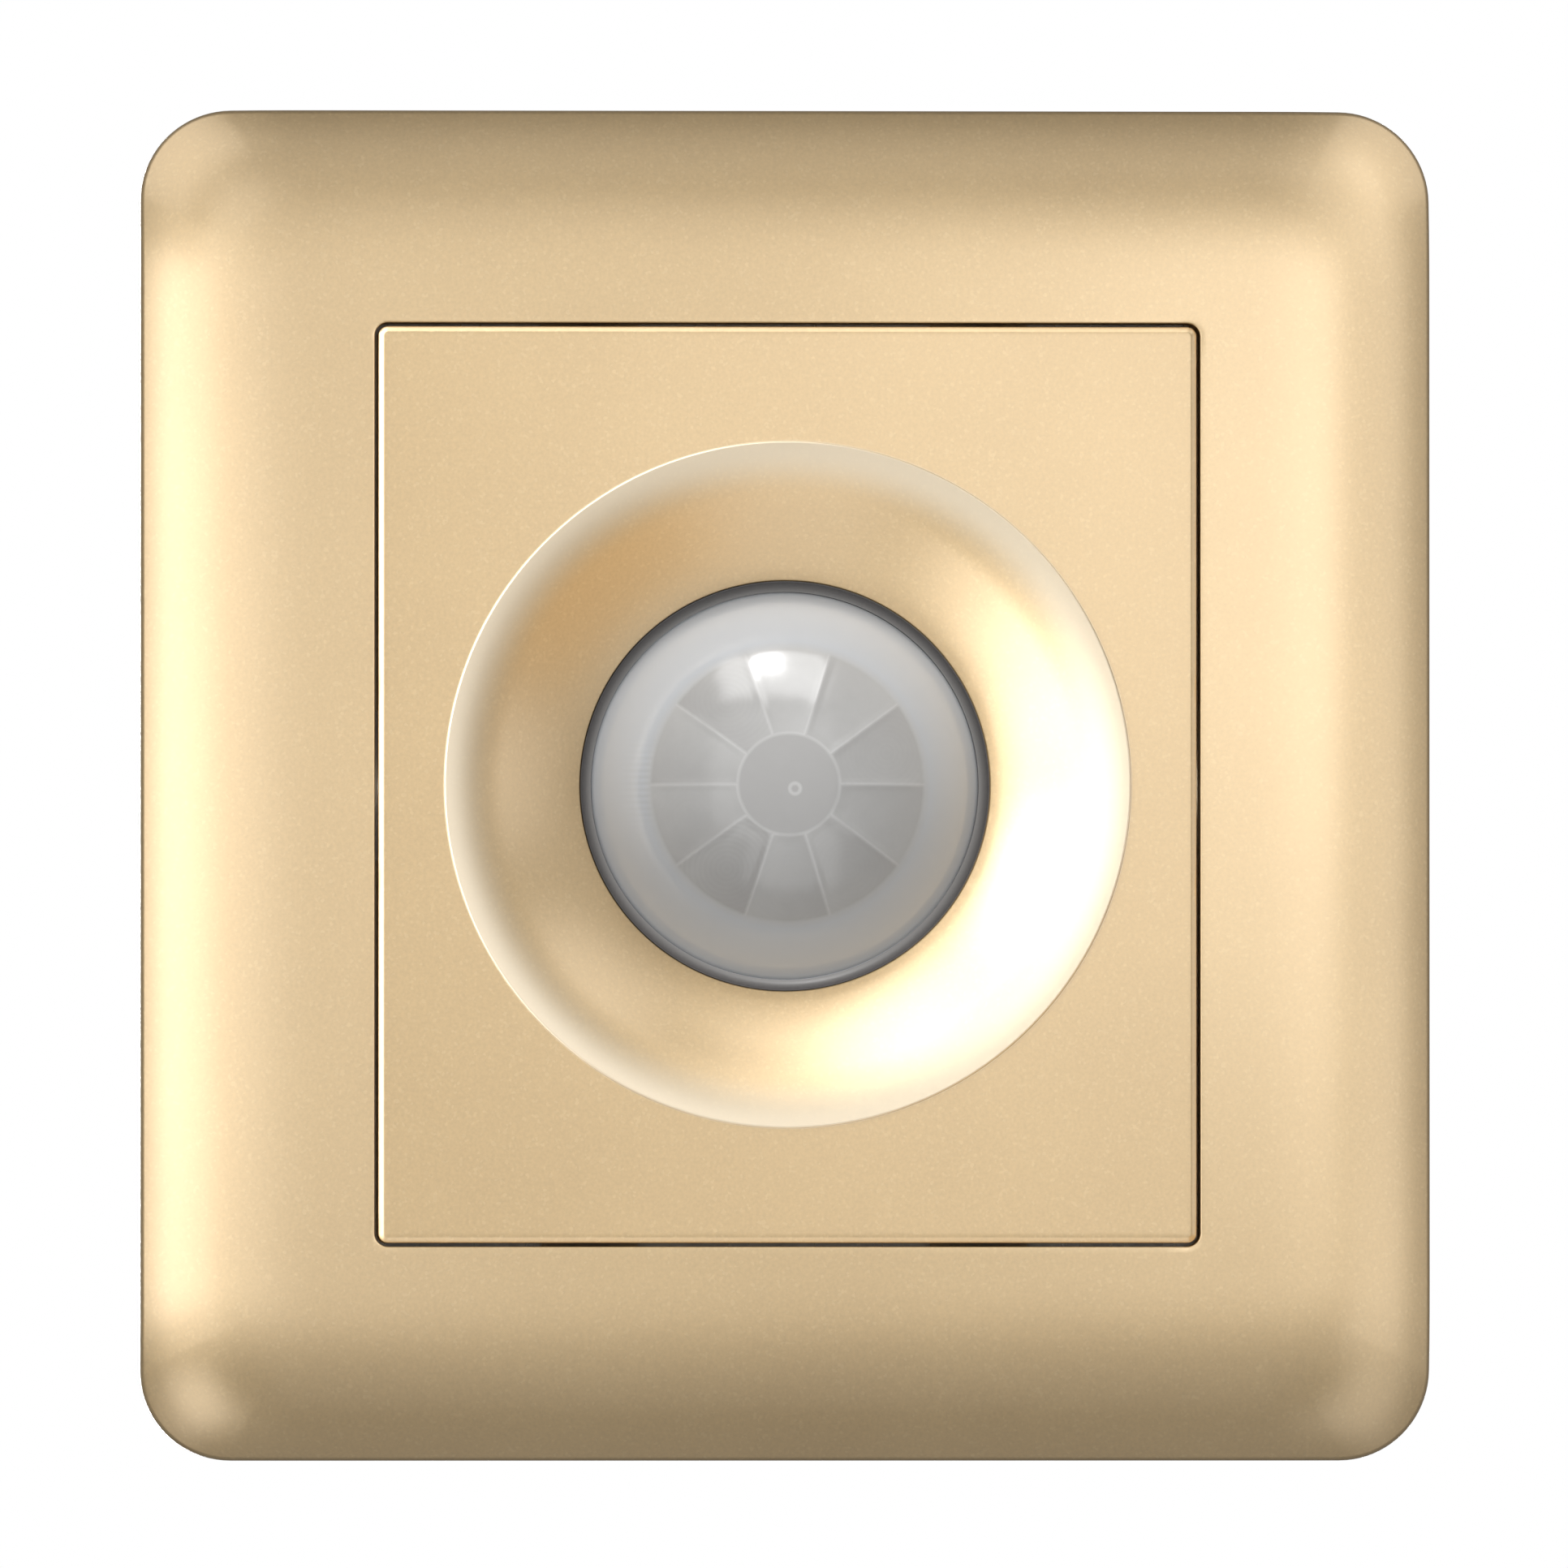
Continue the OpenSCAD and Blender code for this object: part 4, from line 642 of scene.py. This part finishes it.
def buildRing(size):
    bm = bmesh.new()
    inner = ringLoop(bm, size["innerR"], size["backY"], size["segments"])
    row = sweep(bm, inner, toRing(size["innerR"], size["footY"]))
    for share in size["rows"]:  # the hollow front face
        r = size["innerR"] + (size["outerR"] - size["innerR"]) * share
        y = size["footY"] + (size["frontY"] - size["footY"]) * share ** size["hollow"]
        row = sweep(bm, row, toRing(r, y))
    front = sweep(bm, row, toRing(size["outerR"], size["frontY"] + size["edgeDrop"]))
    row = sweep(bm, front, toRing(size["outerR"], size["seatY"]))
    row = sweep(bm, row, toRing(size["flangeR"], size["seatY"]))
    row = sweep(bm, row, toRing(size["flangeR"], size["backY"]))
    bridge(bm, row, inner)
    bmesh.ops.remove_doubles(bm, verts=bm.verts, dist=weld)
    return bm


def bezelFinish(size):
    # dark moulded ring, greyer where the milky lens sheds light on it
    material, tree, principled, place, effect, _ = grained(
        "bezelDark", size["light"], size["dark"], (0.30, 0.42), scale=4200.0, bump=0.2, Specular_IOR_Level=0.5)
    nearLens = remap(tree, fromAxis(tree, place), size["innerR"], size["outerR"], size["litShare"], 0.0)
    tree.links.new(blendColours(tree, nearLens, effect.outputs["Color"], size["lit"]), principled.inputs["Base Color"])
    return material


lensRing = makePiece("lensRing", buildRing(ringSize), bezelFinish(ringSize), "switch", "lens_bezel")


# Finishes of the pieces that keep their construction shape
housingWhite = grained("housingWhite", (0.80, 0.79, 0.75), (0.74, 0.73, 0.69), (0.38, 0.52), scale=3800.0, bump=0.25,
                       Subsurface_Weight=0.05, Subsurface_Scale=2 * mm)[0]
blackPlastic = grained("blackPlastic", (0.030, 0.030, 0.031), (0.018, 0.018, 0.019), (0.34, 0.50), scale=4200.0,
                       bump=0.3)[0]
relayBlue = grained("relayBlue", (0.030, 0.105, 0.330), (0.022, 0.080, 0.270), (0.26, 0.36), scale=3200.0)[0]
terminalGreen = grained("terminalGreen", (0.045, 0.290, 0.130), (0.032, 0.230, 0.100), (0.33, 0.46), scale=3600.0,
                        bump=0.25)[0]
filmYellow = grained("filmYellow", (0.800, 0.480, 0.060), (0.720, 0.410, 0.045), (0.24, 0.36), scale=1500.0, bump=0.3,
                     bumpDepth=0.03)[0]
sleeveNavy = grained("sleeveNavy", (0.022, 0.030, 0.075), (0.015, 0.021, 0.055), (0.20, 0.30), scale=2200.0)[0]
chipTan = grained("chipTan", (0.300, 0.215, 0.140), (0.230, 0.160, 0.100), (0.40, 0.55), scale=5200.0, bump=0.3)[0]
ledRed = grained("ledRed", (0.620, 0.022, 0.015), (0.500, 0.014, 0.010), (0.06, 0.12), scale=600.0, bump=0.05,
                 Transmission_Weight=0.35, IOR=1.5)[0]
filterGlass = grained("filterGlass", (0.060, 0.034, 0.030), (0.040, 0.022, 0.024), (0.05, 0.10), scale=500.0,
                      bump=0.04, Coat_Weight=0.6, Coat_Roughness=0.04)[0]
canSteel = metallic("canSteel", (0.72, 0.70, 0.66), (0.60, 0.58, 0.55), (0.18, 0.30), scale=5200.0)[0]
stemGold = metallic("stemGold", (0.86, 0.64, 0.28), (0.74, 0.52, 0.20), (0.20, 0.32), scale=4200.0)[0]
contactBrass = metallic("contactBrass", (0.80, 0.60, 0.28), (0.66, 0.46, 0.19), (0.24, 0.38), scale=4600.0)[0]


zincLook = dict(light=(0.70, 0.72, 0.74), dark=(0.58, 0.60, 0.63), rough=(0.24, 0.38), spangle=(0.80, 0.82, 0.85),
                spangleScale=620.0, spangleReach=0.8, spangleShare=0.35)
boardLook = dict(light=(0.020, 0.170, 0.060), dark=(0.014, 0.130, 0.046), rough=(0.20, 0.32),
                 track=(0.035, 0.235, 0.085), trackScale=170.0, trackGap=0.035, trackLength=1.4, trackPitch=0.32,
                 trackShift=0.37, trackSquash=1.6, squashEvery=3, grainHigh=0.3)
coilLook = dict(light=(0.78, 0.30, 0.13), dark=(0.60, 0.20, 0.08), rough=(0.22, 0.34), between=(0.25, 0.07, 0.03),
                betweenShare=0.55, betweenTop=-0.2, wirePitch=0.22, grainHigh=0.3)
fuseLook = dict(light=(0.300, 0.390, 0.280), dark=(0.245, 0.330, 0.230), rough=(0.32, 0.44),
                band=(0.160, 0.080, 0.040), bandPitch=2.1, bandStart=0.62, bandShare=0.75)
cellLook = dict(light=(0.640, 0.520, 0.380), dark=(0.560, 0.450, 0.320), rough=(0.16, 0.26),
                track=(0.520, 0.090, 0.025), trackPitch=0.7, trackEdge=0.1)


def zincFinish(look):
    # bright zinc over steel, with the faint grains of the plating
    material, tree, principled, place, effect, _ = metallic(
        "zincSteel", look["light"], look["dark"], look["rough"], scale=2600.0, stain=160.0)
    spangle = addNode(tree, "ShaderNodeTexVoronoi", feature="F1")
    setInputs(spangle, Scale=look["spangleScale"], Randomness=1.0)
    tree.links.new(place.outputs["Object"], spangle.inputs["Vector"])
    grains = remap(tree, spangle.outputs["Distance"], 0.0, look["spangleReach"], 0.0, look["spangleShare"])
    tree.links.new(blendColours(tree, grains, effect.outputs["Color"], look["spangle"]),
                   principled.inputs["Base Color"])
    return material


def boardFinish(look):
    # green solder mask over copper tracks
    material, tree, principled, place, effect, bump = grained(
        "boardGreen", look["light"], look["dark"], look["rough"], bump=0.25, bumpDepth=0.03)
    turnUp = addNode(tree, "ShaderNodeMapping")
    turnUp.inputs["Rotation"].default_value = (pi / 2, 0.0, 0.0)
    tree.links.new(place.outputs["Object"], turnUp.inputs["Vector"])
    tracks = addNode(tree, "ShaderNodeTexBrick", offset=look["trackShift"], squash=look["trackSquash"],
                     squash_frequency=look["squashEvery"])
    setInputs(tracks, Scale=look["trackScale"], Mortar_Size=look["trackGap"], Brick_Width=look["trackLength"],
              Row_Height=look["trackPitch"])
    tree.links.new(turnUp.outputs[0], tracks.inputs["Vector"])
    onTrack = tracks.outputs["Fac"]
    tree.links.new(blendColours(tree, onTrack, effect.outputs["Color"], look["track"]),
                   principled.inputs["Base Color"])
    tree.links.new(math(tree, "ADD", math(tree, "MULTIPLY", effect.outputs["Height"], look["grainHigh"]), onTrack),
                   bump.inputs["Height"])
    return material


def coilFinish(look):
    # enamelled copper wire, wound side by side round the core, with painted shade in the troughs between turns
    material, tree, principled, place, effect, bump = metallic(
        "coilCopper", look["light"], look["dark"], look["rough"], scale=2600.0, bump=0.8, bumpDepth=0.05)
    _, y, _ = objectAxes(tree, place)
    turns = math(tree, "SINE", math(tree, "MULTIPLY", y, 2 * pi / (look["wirePitch"] * mm)))
    tree.links.new(math(tree, "ADD", math(tree, "MULTIPLY", effect.outputs["Height"], look["grainHigh"]), turns),
                   bump.inputs["Height"])
    troughShadeMask = remap(tree, turns, -1.0, look["betweenTop"], look["betweenShare"], 0.0)
    tree.links.new(blendColours(tree, troughShadeMask, effect.outputs["Color"], look["between"]), principled.inputs["Base Color"])
    return material


def fuseFinish(look):
    # sage lacquer with plain value bands round the body
    material, tree, principled, place, effect, _ = grained(
        "fuseSage", look["light"], look["dark"], look["rough"], scale=2400.0, bump=0.3)
    x, _, _ = objectAxes(tree, place)
    step = math(tree, "FRACT", math(tree, "MULTIPLY", x, 1 / (look["bandPitch"] * mm)))
    band = math(tree, "MULTIPLY", math(tree, "GREATER_THAN", step, look["bandStart"]), look["bandShare"])
    tree.links.new(blendColours(tree, band, effect.outputs["Color"], look["band"]), principled.inputs["Base Color"])
    return material


def cellFinish(look):
    # light cell: orange-red tracks side by side on a pale body
    material, tree, principled, place, effect, _ = grained(
        "cellOrange", look["light"], look["dark"], look["rough"], scale=2400.0, Coat_Weight=0.5, Coat_Roughness=0.06)
    x, _, _ = objectAxes(tree, place)
    wave = math(tree, "SINE", math(tree, "MULTIPLY", x, 2 * pi / (look["trackPitch"] * mm)))
    track = math(tree, "GREATER_THAN", wave, look["trackEdge"])
    tree.links.new(blendColours(tree, track, effect.outputs["Color"], look["track"]), principled.inputs["Base Color"])
    return material


finishes = {
    "housing": (housingWhite, ["rear_housing", "time_spindle", "light_spindle", "board_spacers"]),
    "zinc": (zincFinish(zincLook), ["mounting_bracket", "ear_screws", "case_screws", "board_screws", "relay_yoke",
                            "relay_armature"] + ["terminal_%s_%d" % (kind, i) for kind in ("clamp", "screw")
                                                 for i in (1, 2, 3)]),
    "boards": (boardFinish(boardLook), ["sensor_board", "power_board"]),
    "black": (blackPlastic, ["lens_retainer", "header_block", "signal_chip", "rectifier_diodes", "relay_driver",
                             "relay_base"]),
    "brass": (contactBrass, ["header_pins", "relay_pins", "relay_moving_contact", "relay_fixed_contact",
                             "terminal_contacts"]),
    "coil": (coilFinish(coilLook), ["relay_coil"]),
    "can": (canSteel, ["pir_can"]),
    "stem": (stemGold, ["pir_stem"]),
    "filter": (filterGlass, ["pir_window"]),
    "relay": (relayBlue, ["relay_cover", "time_adjuster", "light_adjuster", "varistor"]),
    "terminal": (terminalGreen, ["terminal_block"]),
    "film": (filmYellow, ["film_capacitor"]),
    "sleeve": (sleeveNavy, ["timing_capacitors", "filter_capacitors"]),
    "fuse": (fuseFinish(fuseLook), ["fuse_resistor"]),
    "cell": (cellFinish(cellLook), ["light_cell"]),
    "led": (ledRed, ["status_led"]),
    "ceramic": (chipTan, ["chip_parts"]),
}
for material, names in finishes.values():
    for name in names:
        for place in nodes[name].material_slots:
            place.material = material
print("finishes set on", sum(len(names) for _, names in finishes.values()), "nodes")


# Bracket: its screw slots start a little further out, so that no light comes through the gap round the face
bracketSize = dict(slotStart=26.8, arcEnd=29.2, slotHigh=2.3, shift=0.9)


def buildBracket(size):
    bm = bmesh.new()
    bm.from_mesh(nodes["mounting_bracket"].data)
    bmesh.ops.scale(bm, vec=(1 / mm, 1 / mm, 1 / mm), verts=bm.verts)
    bmesh.ops.remove_doubles(bm, verts=bm.verts, dist=weld)
    for side in (-1, 1):
        arc = [v for v in bm.verts
               if abs(v.co.z) < size["slotHigh"] and size["slotStart"] < side * v.co.x < size["arcEnd"]]
        bmesh.ops.translate(bm, vec=(side * size["shift"], 0, 0), verts=arc)
    return bm


makePiece("mountBracket", buildBracket(bracketSize), finishes["zinc"][0], "switch", "mounting_bracket")


# Floor, light and camera
stageSize = dict(floorZ=-0.16, floorR=1.1, floorSides=96, distance=2.0, left=0.0774, low=0.0355, lens=687.5,
                 sensor=36.0, aimX=0.0001, aimZ=0.0002, lightReach=0.62, skyFill=0.15, skySeen=1.0)
floorMesh = bpy.data.meshes.new("paleFloor")
bm = bmesh.new()
bmesh.ops.create_circle(bm, cap_ends=True, segments=stageSize["floorSides"],
                        radius=stageSize["floorR"])
bmesh.ops.translate(bm, vec=(0, 0, stageSize["floorZ"]), verts=bm.verts)
bm.to_mesh(floorMesh)
bm.free()
paleFloor = bpy.data.objects.new("paleFloor", floorMesh)
bpy.context.scene.collection.objects.link(paleFloor)
floorMesh.materials.append(grained("floorPale", (0.80, 0.80, 0.79), (0.77, 0.77, 0.76), (0.6, 0.7), scale=300.0,
                                   cloud=6.0, bump=0.05)[0])
paleFloor.visible_diffuse = paleFloor.visible_glossy = False  # throws no light back on the part


def softBox(name, spot, aim, width, height, power, lit=None, unlit=None, tint=(1.0, 1.0, 1.0)):
    # a rectangular light, which may be shaded off so that it falls on some pieces only, or misses some
    lamp = bpy.data.lights.new(name, "AREA")
    lamp.shape = "RECTANGLE"
    lamp.size, lamp.size_y, lamp.energy, lamp.color = width, height, power, tint
    holder = bpy.data.objects.new(name, lamp)
    holder.location = spot
    holder.rotation_euler = (Vector(aim) - Vector(spot)).to_track_quat("-Z", "Y").to_euler()
    bpy.context.scene.collection.objects.link(holder)
    holder.visible_camera = False
    if lit or unlit:
        group = bpy.data.collections.new(name + "Falls")
        for piece in lit or unlit:
            group.objects.link(piece)
        for entry in group.collection_objects:
            entry.light_linking.link_state = "INCLUDE" if lit else "EXCLUDE"
        holder.light_linking.receiver_collection = group
        if spot[1] < 0:
            holder.light_linking.blocker_collection = frontShade
    return holder


def around(turn, tilt):
    # a spot in front of the part: tilt is the angle off the lens axis, and turn goes round it from the right
    reach, a, b = stageSize["lightReach"], radians(turn), radians(tilt)
    return (reach * sin(b) * cos(a), -reach * cos(b), reach * sin(b) * sin(a))


# Where the lights aim: the middle of the part, or one side of the frame
middle, leftRail, rightRail, topRail = (0.0, 0.0, 0.0), (-0.03, 0.0, 0.0), (0.033, 0.0, 0.008), (0.01, 0.0, 0.035)
frontPieces = [coverFrame, sensorFace, domeLens, lensRing]
onCover, onFace, onLens = [coverFrame], [sensorFace], [domeLens, lensRing]
frontShade = bpy.data.collections.new("frontShade")  # all that may shade a light in front, so not the floor
for piece in onCover + onFace:
    frontShade.objects.link(piece)
softBox("frontWall", (0.0, -0.95, 0.0), middle, 1.4, 0.9, 0.70)
softBox("rearTop", (0.0, 0.70, 0.80), middle, 0.8, 0.6, 8.0, unlit=frontPieces)
softBox("rearLeft", (-0.45, 0.80, 0.10), middle, 0.5, 0.4, 2.5, unlit=frontPieces)
softBox("rearRight", (0.45, 0.80, 0.10), middle, 0.5, 0.4, 2.0, unlit=frontPieces)
softBox("rearInside", (0.0, 0.95, 0.0), middle, 0.3, 0.3, 5.0, frontPieces)
softBox("floorFill", (0.0, 0.0, 1.6), middle, 2.0, 2.0, 24.0, [paleFloor])
# close lights, for the broad sheen of the flats
softBox("coverLeftFlat", (-0.09, -0.24, 0.0), leftRail, 0.13, 0.10, 0.057, onCover)
softBox("coverLeftClose", (-0.19, -0.13, 0.0), leftRail, 0.15, 0.13, 0.125, onCover)
softBox("coverLeftEdge", (-0.22, -0.07, 0.0), leftRail, 0.12, 0.13, 0.035, onCover)
softBox("coverRightFlat", (0.07, -0.19, 0.02), rightRail, 0.09, 0.08, 0.053, onCover)
softBox("coverTopFlat", (0.02, -0.22, 0.09), topRail, 0.14, 0.08, 0.0116, onCover)
softBox("coverTop", (-0.05, -0.35, 0.50), middle, 0.5, 0.4, 0.18, onCover)
softBox("faceRightFlat", (0.05, -0.24, 0.03), rightRail, 0.11, 0.10, 0.056, onFace)
softBox("faceTop", (-0.05, -0.35, 0.50), middle, 0.5, 0.4, 0.785, onFace)
softBox("lensFill", (-0.10, -0.90, 0.10), middle, 1.2, 1.2, 5.2, onLens)
softBox("lensLow", (0.05, -0.55, -0.45), middle, 0.6, 0.4, 0.9, onLens)
softBox("lensWindow", (-0.04, -0.285, 0.494), middle, 0.50, 0.24, 2.0, onLens)
softBox("lensGlint", (-0.056, -0.24, 0.528), middle, 0.11, 0.06, 0.7, onLens).data.shape = "ELLIPSE"
# lights round the part, for the shoulder and the dish: turn, tilt, side and power
coverLights = dict(UpperLeft=(135, 36, 0.3, 0.25), Below=(270, 36, 0.3, 0.06), Right=(0, 50, 0.4, 0.48),
                   UpperRight=(45, 50, 0.4, 0.45), LowLeft=(225, 66, 0.3, 0.36), LowRight=(315, 66, 0.4, 0.30),
                   RightSide=(0, 80, 0.5, 0.20), RightHigh=(45, 80, 0.5, 0.72), LeftHigh=(135, 80, 0.5, 0.82),
                   Under=(270, 80, 0.5, 0.10))
faceLights = dict(FrontLeft=(180, 36, 0.3, 0.35), Below=(270, 36, 0.3, 0.24), UpperLeft=(135, 50, 0.4, 1.0),
                  Left=(180, 50, 0.4, 1.0), Right=(0, 66, 0.3, 0.30), UpperRight=(45, 66, 0.3, 0.39),
                  HighLeft=(112, 66, 0.3, 0.83), LeftHigh=(157, 66, 0.3, 1.65), LeftLow=(202, 66, 0.3, 0.80),
                  LowLeft=(225, 66, 0.3, 0.43), Under=(270, 66, 0.4, 0.43))
for lit, start, lights in ((onCover, "cover", coverLights), (onFace, "face", faceLights)):
    for name, (turn, tilt, side, power) in lights.items():
        softBox(start + name, around(turn, tilt), middle, side, side, power, lit)
softBox("faceWarm", around(315, 66), middle, 0.5, 0.5, 0.50, onFace, tint=(1.0, 0.70, 0.36))
print("lights set:", len(bpy.data.lights))

world = bpy.data.worlds.new("studio")
bpy.context.scene.world = world
world.use_nodes = True
tree = world.node_tree
tree.nodes.clear()
seen = addNode(tree, "ShaderNodeLightPath")
plain = addNode(tree, "ShaderNodeBackground")
setInputs(plain, Color=(1.0, 1.0, 1.0, 1.0), Strength=stageSize["skyFill"])
white = addNode(tree, "ShaderNodeBackground")
setInputs(white, Color=(1.0, 1.0, 1.0, 1.0), Strength=stageSize["skySeen"])
mixed = addNode(tree, "ShaderNodeMixShader")
tree.links.new(seen.outputs["Is Camera Ray"], mixed.inputs[0])
tree.links.new(plain.outputs[0], mixed.inputs[1])
tree.links.new(white.outputs[0], mixed.inputs[2])
output = addNode(tree, "ShaderNodeOutputWorld")
tree.links.new(mixed.outputs[0], output.inputs[0])

camera = bpy.data.cameras.new("camera")
camera.lens = stageSize["lens"]
camera.sensor_width = stageSize["sensor"]
camera.sensor_fit = "HORIZONTAL"
camera.clip_start = 0.01
cameraHolder = bpy.data.objects.new("camera", camera)
cameraHolder.location = (-stageSize["left"], -stageSize["distance"], -stageSize["low"])
aim = Vector((stageSize["aimX"], 0, stageSize["aimZ"]))
cameraHolder.rotation_euler = (aim - cameraHolder.location).to_track_quat("-Z", "Y").to_euler()
bpy.context.scene.collection.objects.link(cameraHolder)
bpy.context.scene.camera = cameraHolder
bpy.context.scene.view_settings.view_transform = "Standard"
print("stage ready")
